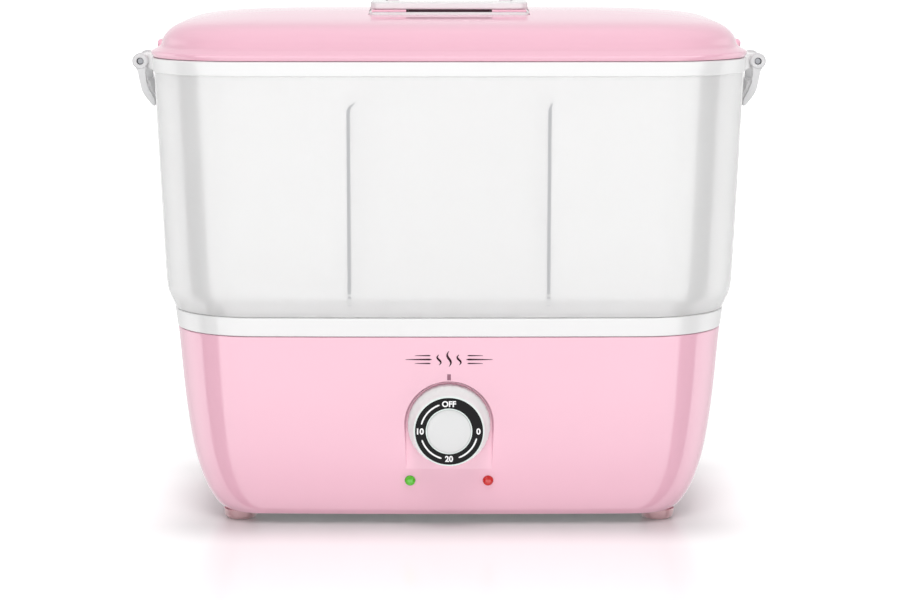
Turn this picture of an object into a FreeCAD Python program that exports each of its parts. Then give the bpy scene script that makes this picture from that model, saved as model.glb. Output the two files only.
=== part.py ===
import FreeCAD
import Part
import math
import os

V = FreeCAD.Vector

# All sizes in millimetres. +Z is up, the control side faces -Y, the origin is on the table
# under the middle of the housing.

# How much the long sides and the short sides bow outward between the corners.
LONG_BOW = 2.0
SHORT_BOW = 1.0

# Outside of the pink base: height, half width, half depth, corner radius.
BASE_OUTSIDE = [
    (5.5, 122.7, 66.0, 24.0),
    (9.3, 126.1, 69.2, 27.0),
    (14.8, 129.5, 72.3, 30.0),
    (20.3, 132.1, 74.7, 32.5),
    (31.3, 135.7, 78.1, 36.0),
    (42.3, 138.1, 80.3, 38.3),
    (53.2, 139.8, 81.9, 40.0),
    (64.1, 141.2, 83.2, 41.3),
    (75.0, 142.3, 84.2, 42.3),
    (91.5, 143.7, 85.5, 43.5),
    (104.5, 144.8, 86.6, 44.5),
]
BASE_BOTTOM = 5.5
BASE_TOP = 104.5
WALL = 2.5
LEDGE_UNDERSIDE = 101.0
BOSS_TOP = 60.0

# Collar ring between base and tank.
COLLAR_BOTTOM = 104.8
COLLAR_TOP = 114.5

# Outside of the clear tank.
TANK_OUTSIDE = [
    (114.9, 146.1, 87.9, 45.9),
    (118.0, 147.3, 89.1, 46.6),
    (121.0, 148.6, 90.3, 47.3),
    (123.2, 149.4, 91.1, 47.8),
    (125.4, 149.9, 91.6, 48.0),
    (129.0, 150.3, 91.9, 48.2),
    (134.0, 150.6, 92.1, 48.3),
    (171.0, 152.2, 92.9, 48.7),
    (220.0, 154.2, 93.7, 49.1),
    (239.5, 155.0, 94.0, 49.3),
]
TANK_FLOOR_TOP = 117.4
TANK_WALL = 2.4
RIM_BOTTOM = 239.5
RIM_TOP = 247.1

# Lid: a rolled lip, a sloping shoulder and a dome.
LIP = [
    (247.5, 156.4, 95.4, 50.4),
    (250.7, 156.2, 95.2, 50.2),
]
SHOULDER = [
    (250.7, 155.6, 94.6, 49.6),
    (253.4, 151.0, 90.0, 46.0),
]
DOME = [
    (253.4, 151.0, 90.0, 46.0),
    (257.5, 149.9, 88.6, 45.0),
    (259.9, 148.3, 86.6, 44.0),
    (261.8, 146.4, 83.9, 42.5),
    (263.4, 144.0, 80.2, 40.5),
    (265.0, 140.4, 74.5, 38.0),
    (266.6, 134.3, 64.5, 35.0),
    (268.1, 125.7, 50.0, 32.0),
    (269.4, 112.5, 35.0, 26.0),
    (270.2, 96.0, 22.0, 18.0),
    (270.5, 80.0, 12.0, 10.0),
]
LID_WALL = 2.5

# Timer knob and the flat-backed niche it sits in.
KNOB_Z = 57.0
NICHE_FACE_Y = -78.0
NICHE_RADIUS = 23.3
SKIRT_RADIUS = 21.6
KNOB_FRONT_Y = -96.8
SHAFT_RADIUS = 3.0

# Lamps.
LAMP_X = 20.5
LAMP_Z = 26.5
LAMP_RADIUS = 2.8

# Feet and the screws of the bottom plate.
FEET = [(112.0, 48.0), (-112.0, 48.0), (112.0, -48.0), (-112.0, -48.0)]
PLATE_TOP = 8.0
CUP_TOP = 11.0
CUP_FLOOR = 2.0
BOSSES = [(113.5, 0.0), (-113.5, 0.0), (62.0, 57.5), (-62.0, 57.5), (62.0, -57.5), (-62.0, -57.5)]

# Removable dividers.
DIVIDER_X = 51.2
DIVIDER_TOP = 226.0
DIVIDER_THICK = 2.2
DIVIDER_HALF_DEPTH = 85.9

# Side latches: pivot position and the profile measured from it (inward, up).
LATCH_X = 165.6
LATCH_Z = 242.8
LATCH_HALF_WIDTH = 18.0
LATCH_RING = 4.3
PIN_RADIUS = 1.85
LUG_HALF_WIDTH = 12.6
CATCH_HALF_WIDTH = 10.5
CATCH_BOTTOM = 250.0
CATCH_TOP = 254.2
ARM_PROFILE = [
    (-3.2, -2.2), (-1.5, -5.4), (-0.5, -11.0), (0.7, -16.1), (3.0, -19.8), (6.2, -23.7),
    (7.3, -24.1), (7.9, -23.2), (7.7, -20.8), (4.7, -15.4), (3.3, -11.4), (2.7, -5.4), (3.4, -2.0),
]
WEB_PROFILE = [
    (-0.5, -10.0), (0.7, -16.1), (3.0, -19.8), (6.2, -23.7), (7.3, -24.1), (8.1, -23.2), (8.1, -20.0),
    (6.0, -15.0), (4.6, -10.0),
]
WEB_HALF_WIDTH = 12.0
WEB_TOP = 11.0
POCKET_FAR = 17.7
POCKET_FLOOR = 2.6

# Carry handle folded on the lid.
HANDLE_HALF_WIDTH = 42.0
HANDLE_FRONT_Y = -44.0
HANDLE_BOTTOM = 271.5
HANDLE_THICK = 3.8
HANDLE_PIVOT_Y = 14.0
SEAT_Z = 268.6
BEZEL_THICK = 1.4
PLATFORM_TOP = 271.2
WELL_HALF_WIDTH = 22.5

# Cord gland at the back.
GLAND_X = -80.0
GLAND_Z = 31.0
GLAND_BORE = 3.3


def arc(a, b, c):
    return Part.Arc(a, b, c).toShape()


def outline(half_x, half_y, corner, z):
    """A rounded rectangle with gently bowed sides, tangent all the way round."""
    big = (half_x ** 2 + LONG_BOW ** 2) / (2 * LONG_BOW)
    small = (half_y ** 2 + SHORT_BOW ** 2) / (2 * SHORT_BOW)
    cx = half_x - corner
    cy = half_y - corner
    for _ in range(30):
        cy = half_y - big + math.sqrt((big - corner) ** 2 - cx ** 2)
        cx = half_x - small + math.sqrt((small - corner) ** 2 - cy ** 2)
    k = big / (big - corner)
    long_x = cx * k
    long_y = (cy - (half_y - big)) * k + half_y - big
    k = small / (small - corner)
    short_x = (cx - (half_x - small)) * k + half_x - small
    short_y = cy * k
    mid_x = (long_x + short_x) / 2 - cx
    mid_y = (long_y + short_y) / 2 - cy
    scale = corner / math.hypot(mid_x, mid_y)
    mid_x = cx + mid_x * scale
    mid_y = cy + mid_y * scale

    def p(x, y):
        return V(x, y, z)

    edges = [
        arc(p(-long_x, -long_y), p(0, -half_y), p(long_x, -long_y)),
        arc(p(long_x, -long_y), p(mid_x, -mid_y), p(short_x, -short_y)),
        arc(p(short_x, -short_y), p(half_x, 0), p(short_x, short_y)),
        arc(p(short_x, short_y), p(mid_x, mid_y), p(long_x, long_y)),
        arc(p(long_x, long_y), p(0, half_y), p(-long_x, long_y)),
        arc(p(-long_x, long_y), p(-mid_x, mid_y), p(-short_x, short_y)),
        arc(p(-short_x, short_y), p(-half_x, 0), p(-short_x, -short_y)),
        arc(p(-short_x, -short_y), p(-mid_x, -mid_y), p(-long_x, -long_y)),
    ]
    return Part.Wire(edges)


def body(sections, grow=0.0, rise=0.0):
    """Solid through a stack of outlines, grown sideways and lifted as asked."""
    wires = [outline(x + grow, y + grow, r + grow, z + rise) for z, x, y, r in sections]
    return Part.makeLoft(wires, True, True)


def smooth(sections, count):
    """The same stack resampled at even steps along its profile, without overshoot."""
    along = [0.0]
    for low, high in zip(sections, sections[1:]):
        along.append(along[-1] + math.hypot(high[0] - low[0], high[1] - low[1]))
    columns = list(zip(*sections))
    slopes = [gentle_slopes(along, column) for column in columns]
    result = []
    for i in range(count + 1):
        s = along[-1] * i / count
        k = max(j for j in range(len(along) - 1) if along[j] <= s + 1e-9)
        h = along[k + 1] - along[k]
        t = (s - along[k]) / h
        result.append(tuple(hermite(c[k], c[k + 1], m[k] * h, m[k + 1] * h, t) for c, m in zip(columns, slopes)))
    return result


def gentle_slopes(along, values):
    steps = [(b - a) / (q - p) for a, b, p, q in zip(values, values[1:], along, along[1:])]
    slopes = [steps[0]]
    for before, after in zip(steps, steps[1:]):
        slopes.append(0.0 if before * after <= 0 else 2 * before * after / (before + after))
    return slopes + [steps[-1]]


def hermite(a, b, slope_a, slope_b, t):
    bend = (2 * t ** 3 - 3 * t ** 2 + 1) * a + (3 * t ** 2 - 2 * t ** 3) * b
    return bend + (t ** 3 - 2 * t ** 2 + t) * slope_a + (t ** 3 - t ** 2) * slope_b


def slab(half_x, half_y, corner, z0, z1):
    return Part.Face(outline(half_x, half_y, corner, z0)).extrude(V(0, 0, z1 - z0))


def between(sections, z):
    """Section of a stack at any height, by straight interpolation."""
    for low, high in zip(sections, sections[1:]):
        if low[0] <= z <= high[0]:
            t = (z - low[0]) / (high[0] - low[0])
            return (z,) + tuple(a + t * (b - a) for a, b in zip(low[1:], high[1:]))
    return sections[-1]


def box(x0, x1, y0, y1, z0, z1):
    return Part.makeBox(x1 - x0, y1 - y0, z1 - z0, V(x0, y0, z0))


def rod(radius, start, end):
    way = end - start
    return Part.makeCylinder(radius, way.Length, start, way)


def turned(profile, centre, axis):
    """Solid of revolution; profile points are (radius, distance along the axis)."""
    points = [V(r, 0, d) for r, d in profile]
    face = Part.Face(Part.makePolygon(points + [points[0]]))
    solid = face.revolve(V(0, 0, 0), V(0, 0, 1), 360)
    solid.Placement = FreeCAD.Placement(centre, FreeCAD.Rotation(V(0, 0, 1), axis))
    return solid


def prism_xz(points, y0, y1):
    loop = [V(x, y0, z) for x, z in points]
    return Part.Face(Part.makePolygon(loop + [loop[0]])).extrude(V(0, y1 - y0, 0))


def prism_xy(points, z0, z1):
    loop = [V(x, y, z0) for x, y in points]
    return Part.Face(Part.makePolygon(loop + [loop[0]])).extrude(V(0, 0, z1 - z0))


def tombstone(radius, y0, y1, z_low):
    """Arch-topped prism around the knob axis, open downward to z_low."""
    arch = rod(radius, V(0, y0, KNOB_Z), V(0, y1, KNOB_Z))
    return arch.fuse(box(-radius, radius, y0, y1, z_low, KNOB_Z)).removeSplitter()


def fused(shapes):
    whole = shapes[0]
    for shape in shapes[1:]:
        whole = whole.fuse(shape)
    return whole.removeSplitter()


def soften(shape, radius, wanted):
    """Round the edges that wanted(edge) picks."""
    edges = [e for e in shape.Edges if wanted(e)]
    return shape.makeFillet(radius, edges)


def base_shell():
    outside = body(smooth(BASE_OUTSIDE, 16))
    lower = [s for s in BASE_OUTSIDE if s[0] < LEDGE_UNDERSIDE]
    inside = body(smooth(lower + [between(BASE_OUTSIDE, LEDGE_UNDERSIDE)], 8), -WALL)
    inside = inside.cut(tombstone(NICHE_RADIUS + WALL, -110, NICHE_FACE_Y + WALL, 12))
    shell = outside.cut(inside)
    shell = shell.cut(slab(137.4, 79.2, 38.0, LEDGE_UNDERSIDE - 1, BASE_TOP + 1))
    shell = shell.cut(tombstone(NICHE_RADIUS, -110, NICHE_FACE_Y, 12))
    for x, y in BOSSES:
        shell = shell.fuse(boss(x, y).common(outside))
    for x, y in BOSSES:
        shell = shell.cut(rod(1.45, V(x, y, 0), V(x, y, 26)))
    for side in (-1, 1):
        shell = shell.cut(rod(LAMP_RADIUS + 0.05, V(side * LAMP_X, -90, LAMP_Z), V(side * LAMP_X, -70, LAMP_Z)))
        shell = shell.cut(rod(1.7, V(side * 13.5, -90, KNOB_Z), V(side * 13.5, -70, KNOB_Z)))
    shell = shell.cut(rod(4.2, V(0, -90, KNOB_Z), V(0, -70, KNOB_Z)))
    shell = shell.cut(rod(6.0, V(GLAND_X, 60, GLAND_Z), V(GLAND_X, 100, GLAND_Z)))
    return shell.removeSplitter()


def boss(x, y):
    """Screw column of the base, tied to the nearest wall by a rib; it ends under the reservoir."""
    column = rod(4.5, V(x, y, CUP_TOP), V(x, y, BOSS_TOP))
    if y == 0:
        rib = box(min(x, x * 1.3), max(x, x * 1.3), -1.0, 1.0, CUP_TOP, BOSS_TOP)
    else:
        rib = box(x - 1.0, x + 1.0, min(y, y * 1.5), max(y, y * 1.5), CUP_TOP, BOSS_TOP)
    return column.fuse(rib)


def base_collar():
    ring = body([(COLLAR_BOTTOM, 145.1, 86.9, 44.9), (COLLAR_TOP, 146.2, 88.0, 46.0)])
    ring = ring.cut(slab(139.5, 81.3, 39.5, 100, 120))
    ring = ring.cut(slab(142.4, 84.2, 42.4, 100, 107.3))
    return soften(ring, 0.8, lambda e: e.BoundBox.ZMin > COLLAR_TOP - 0.01 or
                  (e.BoundBox.ZMax < COLLAR_BOTTOM + 0.01 and e.BoundBox.XMax > 143.5) or
                  (e.BoundBox.ZMax < COLLAR_BOTTOM + 0.01 and e.BoundBox.XMin < -143.5))


def water_reservoir():
    tray = body([(80.0, 133.0, 74.8, 34.0), (105.0, 136.9, 78.7, 37.6)])
    tray = tray.fuse(slab(142.1, 83.9, 42.1, 104.5, 107.3))
    tray = tray.cut(body([(82.4, 130.8, 72.6, 32.0), (107.4, 134.5, 76.3, 35.4)]))
    for z in (92.0, 98.0, 104.0):
        tray = tray.fuse(box(-8.0, 8.0, 73.6, 78.0, z, z + 0.8))
    return tray.cut(rod(35.0, V(0, 0, 70), V(0, 0, 90))).removeSplitter()


def heating_plate():
    profile = [(0, 74.0), (33.5, 74.0), (33.5, 83.6), (44.0, 83.6), (44.0, 84.8), (43.2, 85.6), (0, 85.0)]
    return turned(profile, V(0, 0, 0), V(0, 0, 1))


def heater_seal():
    return rod(43.0, V(0, 0, 82.4), V(0, 0, 83.6)).cut(rod(35.2, V(0, 0, 82), V(0, 0, 84)))


def clamp_ring():
    ring = rod(47.0, V(0, 0, 78.6), V(0, 0, 80.0)).cut(rod(33.6, V(0, 0, 78), V(0, 0, 81)))
    for angle in (90, 210, 330):
        x = 41.0 * math.cos(math.radians(angle))
        y = 41.0 * math.sin(math.radians(angle))
        ring = ring.cut(rod(1.7, V(x, y, 78), V(x, y, 81)))
    return ring


def clamp_screws():
    screws = []
    for angle in (90, 210, 330):
        x = 41.0 * math.cos(math.radians(angle))
        y = 41.0 * math.sin(math.radians(angle))
        head = rod(2.8, V(x, y, 76.8), V(x, y, 78.6))
        slot = box(x - 2.4, x + 2.4, y - 0.4, y + 0.4, 76.5, 77.5)
        screws.append(head.cut(slot).fuse(rod(1.5, V(x, y, 78.6), V(x, y, 80.0))).removeSplitter())
    return Part.makeCompound(screws)


def heating_element():
    """Open heater ring under the plate, its two ends carrying the terminals."""
    profile = Part.Face(Part.Wire(Part.makeCircle(3.1, V(25.0, 0, 70.8), V(0, 1, 0))))
    ring = profile.revolve(V(0, 0, 0), V(0, 0, 1), 310)
    ring.rotate(V(0, 0, 0), V(0, 0, 1), 115)
    parts = [ring]
    for angle, way in ((115, 1), (65, -1)):
        x = 25.0 * math.cos(math.radians(angle))
        y = 25.0 * math.sin(math.radians(angle))
        along = V(-way * y, way * x, 0).normalize()
        plug = rod(3.6, V(x, y, 70.3) + along * 0.5, V(x, y, 70.3) - along * 4.0)
        pin = rod(1.2, V(x, y, 60.0) - along * 2.0, V(x, y, 70.3) - along * 2.0)
        parts.append(plug.fuse(pin))
    return fused(parts)


def thermostat():
    can = rod(8.2, V(0, 0, 66.0), V(0, 0, 73.9))
    base = rod(7.0, V(0, 0, 62.5), V(0, 0, 66.0))
    tabs = [box(side * 4.2 - 1.6, side * 4.2 + 1.6, -0.4, 0.4, 56.0, 62.5) for side in (-1, 1)]
    return fused([can, base] + tabs)


def thermal_fuse():
    body_part = rod(2.2, V(-6.5, -14.0, 71.4), V(6.5, -14.0, 71.4))
    leads = rod(0.5, V(-15.0, -14.0, 71.4), V(15.0, -14.0, 71.4))
    return fused([body_part, leads])


def bottom_plate():
    plate = slab(119.8, 63.1, 21.3, BASE_BOTTOM, PLATE_TOP)
    for x, y in BOSSES:
        plate = plate.fuse(rod(4.8, V(x, y, BASE_BOTTOM), V(x, y, CUP_TOP)))
    for x, y in BOSSES:
        plate = plate.cut(rod(3.8, V(x, y, 5), V(x, y, CUP_TOP - CUP_FLOOR)))
        plate = plate.cut(rod(1.8, V(x, y, 5), V(x, y, CUP_TOP + 1)))
    for side in (-1, 1):
        for i in range(6):
            x = side * (30.0 + 8.0 * i)
            plate = plate.cut(box(x - 1.6, x + 1.6, -18.0, 18.0, 5, 9))
    return plate


def bottom_screws():
    screws = []
    for x, y in BOSSES:
        seat = CUP_TOP - CUP_FLOOR
        head = rod(3.2, V(x, y, seat - 1.8), V(x, y, seat))
        head = head.cut(box(x - 2.4, x + 2.4, y - 0.5, y + 0.5, seat - 2.0, seat - 0.9))
        head = head.cut(box(x - 0.5, x + 0.5, y - 2.4, y + 2.4, seat - 2.0, seat - 0.9))
        shank = rod(1.4, V(x, y, seat), V(x, y, 24.0))
        screws.append(head.fuse(shank).removeSplitter())
    return Part.makeCompound(screws)


def feet():
    profile = [(0, 0), (7.0, 0), (8.0, 0.5), (8.6, 1.5), (9.0, 4.6), (9.0, 5.5), (0, 5.5)]
    return Part.makeCompound([turned(profile, V(x, y, 0), V(0, 0, 1)) for x, y in FEET])


def timer_bracket():
    plate = box(-22.0, 22.0, -75.5, -74.3, KNOB_Z - 11, KNOB_Z + 11)
    plate = plate.cut(rod(4.0, V(0, -77, KNOB_Z), V(0, -73, KNOB_Z)))
    for side in (-1, 1):
        plate = plate.cut(rod(1.25, V(side * 13.5, -77, KNOB_Z), V(side * 13.5, -73, KNOB_Z)))
    return plate


def timer_screws():
    screws = []
    for side in (-1, 1):
        x = side * 13.5
        head = rod(2.8, V(x, -79.6, KNOB_Z), V(x, -78.0, KNOB_Z))
        head = head.cut(box(x - 2.2, x + 2.2, -80, -79.0, KNOB_Z - 0.4, KNOB_Z + 0.4))
        screws.append(head.fuse(rod(1.2, V(x, -78.0, KNOB_Z), V(x, -74.3, KNOB_Z))).removeSplitter())
    return Part.makeCompound(screws)


def timer_housing():
    can = box(-19, 19, -74.3, -50.0, KNOB_Z - 19, KNOB_Z + 19)
    can = can.cut(box(-17.8, 17.8, -73.1, -51.2, KNOB_Z - 17.8, KNOB_Z + 17.8))
    can = can.cut(rod(SHAFT_RADIUS + 0.06, V(0, -76, KNOB_Z), V(0, -72, KNOB_Z)))
    return can.cut(rod(SHAFT_RADIUS + 0.06, V(0, -52, KNOB_Z), V(0, -49, KNOB_Z)))


def timer_bell():
    dome = turned([(0, 7.0), (6.0, 6.8), (11.0, 5.2), (14.0, 2.6), (15.0, 0), (14.2, 0), (13.3, 2.2),
                   (10.5, 4.5), (5.8, 6.0), (0, 6.2)], V(0, -46.0, KNOB_Z + 1), V(0, 1, 0))
    post = rod(1.6, V(8.5, -50.0, KNOB_Z + 1), V(8.5, -41.2, KNOB_Z + 1))
    return dome.fuse(post).removeSplitter()


def timer_shaft():
    shaft = rod(SHAFT_RADIUS, V(0, -92.0, KNOB_Z), V(0, -48.5, KNOB_Z))
    return shaft.cut(box(-4, 4, -93, -80, KNOB_Z + 2.0, KNOB_Z + 5))


def timer_wheel():
    teeth = 36
    points = []
    for i in range(teeth):
        for part, radius in ((0.0, 12.0), (0.35, 13.4), (0.55, 13.4), (0.9, 12.0)):
            angle = 2 * math.pi * (i + part) / teeth
            points.append((radius * math.cos(angle), KNOB_Z + radius * math.sin(angle)))
    wheel = prism_xz(points, -66.0, -63.5)
    hub = rod(5.0, V(0, -66.0, KNOB_Z), V(0, -60.0, KNOB_Z))
    wheel = wheel.fuse(hub)
    return wheel.cut(rod(SHAFT_RADIUS, V(0, -67, KNOB_Z), V(0, -59, KNOB_Z))).removeSplitter()


def timer_knob():
    outside = [
        (0, 78.9), (21.3, 78.9), (21.6, 79.3), (21.5, 81.5), (20.9, 84.0), (20.0, 87.0), (19.2, 90.5),
        (18.75, 94.0), (18.6, 95.6), (18.4, 96.4), (18.0, 96.8), (17.6, 96.8), (17.6, 96.2), (12.1, 96.2),
        (12.1, 96.8), (11.9, 96.8), (11.9, 95.8), (0, 95.8),
    ]
    knob = turned(outside, V(0, 0, KNOB_Z), V(0, -1, 0))
    hollow = turned([(6.2, 78.0), (19.0, 78.0), (17.6, 86.0), (16.8, 93.5), (6.2, 93.5)], V(0, 0, KNOB_Z), V(0, -1, 0))
    knob = knob.cut(hollow)
    bore = rod(SHAFT_RADIUS, V(0, -92.0, KNOB_Z), V(0, -70, KNOB_Z))
    bore = bore.cut(box(-4, 4, -93, -80, KNOB_Z + 2.0, KNOB_Z + 5))
    knob = knob.cut(bore)
    for i in range(30):
        angle = 2 * math.pi * i / 30
        x = 22.85 * math.sin(angle)
        z = KNOB_Z + 22.85 * math.cos(angle)
        knob = knob.cut(rod(1.5, V(x, -78, z), V(x * 0.93, -88.0, KNOB_Z + (z - KNOB_Z) * 0.93)))
    return knob


def dial_ring():
    ring = rod(17.5, V(0, -96.7, KNOB_Z), V(0, -96.2, KNOB_Z))
    return ring.cut(rod(12.2, V(0, -97, KNOB_Z), V(0, -96, KNOB_Z)))


def knob_cap():
    profile = [(0, 95.8), (11.8, 95.8), (11.8, 97.0), (11.3, 97.6), (9.0, 98.1), (5.0, 98.45), (0, 98.6)]
    return turned(profile, V(0, 0, KNOB_Z), V(0, -1, 0))


def lamp(side):
    x = side * LAMP_X
    profile = [(0, 70.9), (LAMP_RADIUS, 70.9), (LAMP_RADIUS, 77.6), (2.55, 78.4), (1.9, 79.1), (1.0, 79.5), (0, 79.6)]
    return turned(profile, V(x, 0, LAMP_Z), V(0, -1, 0))


def lamp_board():
    board = box(-30, 30, -70.9, -69.3, LAMP_Z - 6, LAMP_Z + 6)
    parts = [rod(1.1, V(x, -68.2, LAMP_Z + 3), V(x + 6, -68.2, LAMP_Z + 3)) for x in (-14.0, 8.0)]
    pads = [box(x, x + 6, -69.4, -67.9, LAMP_Z + 2.6, LAMP_Z + 3.4) for x in (-14.0, 8.0)]
    return fused([board] + parts + pads)


def index_mark():
    skin = body(smooth(BASE_OUTSIDE, 16), 0.35).cut(body(smooth(BASE_OUTSIDE, 16)))
    bar = box(-0.75, 0.75, -95, -80, 83.6, 85.6)
    bar = fused([bar] + [rod(0.75, V(0, -95, z), V(0, -80, z)) for z in (83.6, 85.6)])
    return skin.common(bar)


def badge():
    """Three rising wisps of steam, printed above the knob."""
    skin = body(smooth(BASE_OUTSIDE, 16), 0.3).cut(body(smooth(BASE_OUTSIDE, 16)))
    wisps = []
    for x, low, high in ((-5.0, 91.0, 96.0), (0.0, 90.5, 98.0), (5.0, 91.0, 96.0)):
        steps = 12
        left = []
        right = []
        for i in range(steps + 1):
            t = i / steps
            sway = 0.9 * math.sin(2 * math.pi * t)
            half = 0.12 + 0.38 * math.sin(math.pi * t)
            z = low + t * (high - low)
            left.append((x + sway - half, z))
            right.append((x + sway + half, z))
        wisps.append(skin.common(prism_xz(left + right[::-1], -95, -80)))
    return Part.makeCompound([w.Solids[0] for w in wisps])


def cord_gland():
    profile = [(0, 68.4), (7.4, 68.4), (7.4, 71.4), (5.95, 72.2), (5.95, 80.2), (8.0, 80.2), (8.0, 81.6),
               (5.6, 82.6), (5.0, 96.0), (0, 96.0)]
    gland = turned(profile, V(GLAND_X, 0, GLAND_Z), V(0, 1, 0))
    for y in (84.0, 87.5, 91.0):
        ring = rod(7.0, V(GLAND_X, y, GLAND_Z), V(GLAND_X, y + 1.3, GLAND_Z))
        ring = ring.cut(rod(4.4, V(GLAND_X, y - 1, GLAND_Z), V(GLAND_X, y + 3, GLAND_Z)))
        gland = gland.cut(ring)
    return gland.cut(rod(GLAND_BORE, V(GLAND_X, 68, GLAND_Z), V(GLAND_X, 97, GLAND_Z)))


def terminal_block():
    block = box(-98.0, -62.0, 36.0, 48.0, 8.0, 20.0)
    for x in (-92.0, -80.0, -68.0):
        block = block.cut(rod(2.2, V(x, 42.0, 14.0), V(x, 42.0, 21.0)))
        block = block.cut(rod(1.8, V(x, 35.0, 12.0), V(x, 41.0, 12.0)))
        block = block.cut(rod(1.8, V(x, 43.0, 12.0), V(x, 49.0, 12.0)))
    return block


def wire(points, radius):
    spans = [rod(radius, V(*a), V(*b)) for a, b in zip(points, points[1:])]
    joints = [Part.makeSphere(radius, V(*p)) for p in points[1:-1]]
    return fused(spans + joints)


def inner_wiring():
    """Insulated leads between block, timer, lamps and heater."""
    runs = [
        [(-92, 36, 12), (-92, 24, 12), (-70, -30, 24), (-40, -44, 50), (-16, -44, 50), (-16, -50, 50)],
        [(-80, 36, 12), (-80, 22, 12), (-40, 20, 40), (-8.8, 23.5, 52), (-8.8, 23.5, 60.0)],
        [(8.8, 23.5, 60.0), (8.8, 23.5, 50), (6, 4, 46), (4.2, 0, 50), (4.2, 0, 56.0)],
        [(-4.2, 0, 56.0), (-4.2, -4, 44), (16, -40, 46), (16, -44, 50), (16, -50, 50)],
        [(-68, 36, 12), (-68, 26, 12), (-50, -40, 16), (-24, -62, 24), (-24, -69.3, 24)],
    ]
    return Part.makeCompound([wire(run, 1.2) for run in runs])


def tank():
    outside = body(TANK_OUTSIDE)
    hollow_sections = [between(TANK_OUTSIDE, TANK_FLOOR_TOP)] + TANK_OUTSIDE[2:]
    hollow = body(hollow_sections, -TANK_WALL)
    shell = outside.cut(hollow)
    tongue = slab(154.2, 93.2, 48.5, RIM_BOTTOM, 244.4).cut(slab(152.7, 91.7, 47.0, RIM_BOTTOM - 1, 245))
    spigot = slab(139.0, 80.8, 39.0, 108.2, 115.5).cut(slab(136.6, 78.4, 36.6, 108, 114.9))
    shell = fused([shell, tongue, spigot])
    ribs = []
    for x in (-DIVIDER_X, DIVIDER_X):
        for side in (-1, 1):
            rib_x = x + side * (DIVIDER_THICK / 2 + 0.4 + 0.8)
            for y in (-1, 1):
                ribs.append(box(rib_x - 0.8, rib_x + 0.8, min(y * 83, y * 96), max(y * 83, y * 96), 117.0, 216.0))
    inner_room = outside.cut(slab(170, 110, 40, 216.5, 300))
    for rib in ribs:
        shell = shell.fuse(rib.common(inner_room))
    columns = [-120.0, -102.0, -84.0, -66.0, -33.0, -16.5, 0.0, 16.5, 33.0, 66.0, 84.0, 102.0, 120.0]
    for x in columns:
        for y in (-46.0, 0.0, 46.0):
            reach = 17.0 if abs(x) < 119 or y == 0 else 10.0
            middle = y if reach == 17.0 else math.copysign(39.0, y)
            shell = shell.cut(steam_slot(x, middle, reach))
    return shell.removeSplitter()


def steam_slot(x, y, reach):
    long_part = box(x - 3, x + 3, y - reach + 3, y + reach - 3, 114, 118)
    return fused([long_part] + [rod(3, V(x, y + s * (reach - 3), 114), V(x, y + s * (reach - 3), 118)) for s in (-1, 1)])


def tank_rim():
    ring = body([(RIM_BOTTOM, 155.6, 94.6, 49.8), (RIM_TOP, 156.1, 95.1, 50.1)])
    ring = ring.cut(slab(150.0, 89.0, 44.6, 235, 250))
    ring = soften(ring, 0.7, lambda e: e.BoundBox.ZMin > RIM_TOP - 0.01 or e.BoundBox.ZMax < RIM_BOTTOM + 0.01)
    groove = slab(154.35, 93.35, 48.65, 235, 244.6).cut(slab(152.55, 91.55, 46.85, 235, 245))
    ring = ring.cut(groove)
    for side in (-1, 1):
        ring = ring.fuse(latch_lug(side))
    for side in (-1, 1):
        ring = ring.cut(rod(PIN_RADIUS, V(side * LATCH_X, -30, LATCH_Z), V(side * LATCH_X, 30, LATCH_Z)))
    return ring.removeSplitter()


def latch_lug(side):
    """Block on the rim's end that carries the latch pin, cut away under a slope."""
    points = [(154.9, 246.2), (LATCH_X, 246.2), (LATCH_X, 239.6), (163.0, 239.3), (155.6, 235.4), (154.9, 235.8)]
    points = [(side * x, z) for x, z in points]
    block = prism_xz(points, -LUG_HALF_WIDTH, LUG_HALF_WIDTH)
    nose = rod(3.4, V(side * LATCH_X, -LUG_HALF_WIDTH, LATCH_Z), V(side * LATCH_X, LUG_HALF_WIDTH, LATCH_Z))
    lug = block.fuse(nose)
    return lug.cut(slab(154.9, 94.0, 49.2, 230, RIM_BOTTOM + 0.5)).removeSplitter()


def latch_pins():
    pins = []
    for side in (-1, 1):
        x = side * LATCH_X
        pin = rod(PIN_RADIUS, V(x, -LATCH_HALF_WIDTH + 0.5, LATCH_Z), V(x, LATCH_HALF_WIDTH - 0.5, LATCH_Z))
        pins.append(pin)
    return Part.makeCompound(pins)


def latch(side):
    """Hanging latch: two arms with eyes on the pin, and a web between them with a pocket for the catch."""
    x = side * LATCH_X
    arms = prism_xz(latch_points(side, ARM_PROFILE), -LATCH_HALF_WIDTH, LATCH_HALF_WIDTH)
    eye = rod(LATCH_RING, V(x, -LATCH_HALF_WIDTH, LATCH_Z), V(x, LATCH_HALF_WIDTH, LATCH_Z))
    gap = LUG_HALF_WIDTH + 0.4
    arms = arms.fuse(eye).cut(box(x - 15, x + 15, -gap, gap, LATCH_Z - 30, LATCH_Z + 10))
    web = prism_xz(latch_points(side, WEB_PROFILE), -gap, gap)
    web = web.cut(rod(WEB_TOP, V(x, -gap, LATCH_Z), V(x, gap, LATCH_Z)))
    pocket = rod(POCKET_FAR, V(x, -WEB_HALF_WIDTH, LATCH_Z), V(x, WEB_HALF_WIDTH, LATCH_Z))
    x0, x1 = sorted((x + side * 20, x - side * POCKET_FLOOR))
    pocket = pocket.common(box(x0, x1, -WEB_HALF_WIDTH, WEB_HALF_WIDTH, LATCH_Z - 30, LATCH_Z))
    whole = arms.fuse(web.cut(pocket))
    return whole.cut(rod(PIN_RADIUS + 0.06, V(x, -30, LATCH_Z), V(x, 30, LATCH_Z))).removeSplitter()


def latch_points(side, profile):
    """Profile points (inward, up) from the pivot, as (x, z)."""
    return [(side * (LATCH_X - u), LATCH_Z + w) for u, w in profile]


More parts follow.
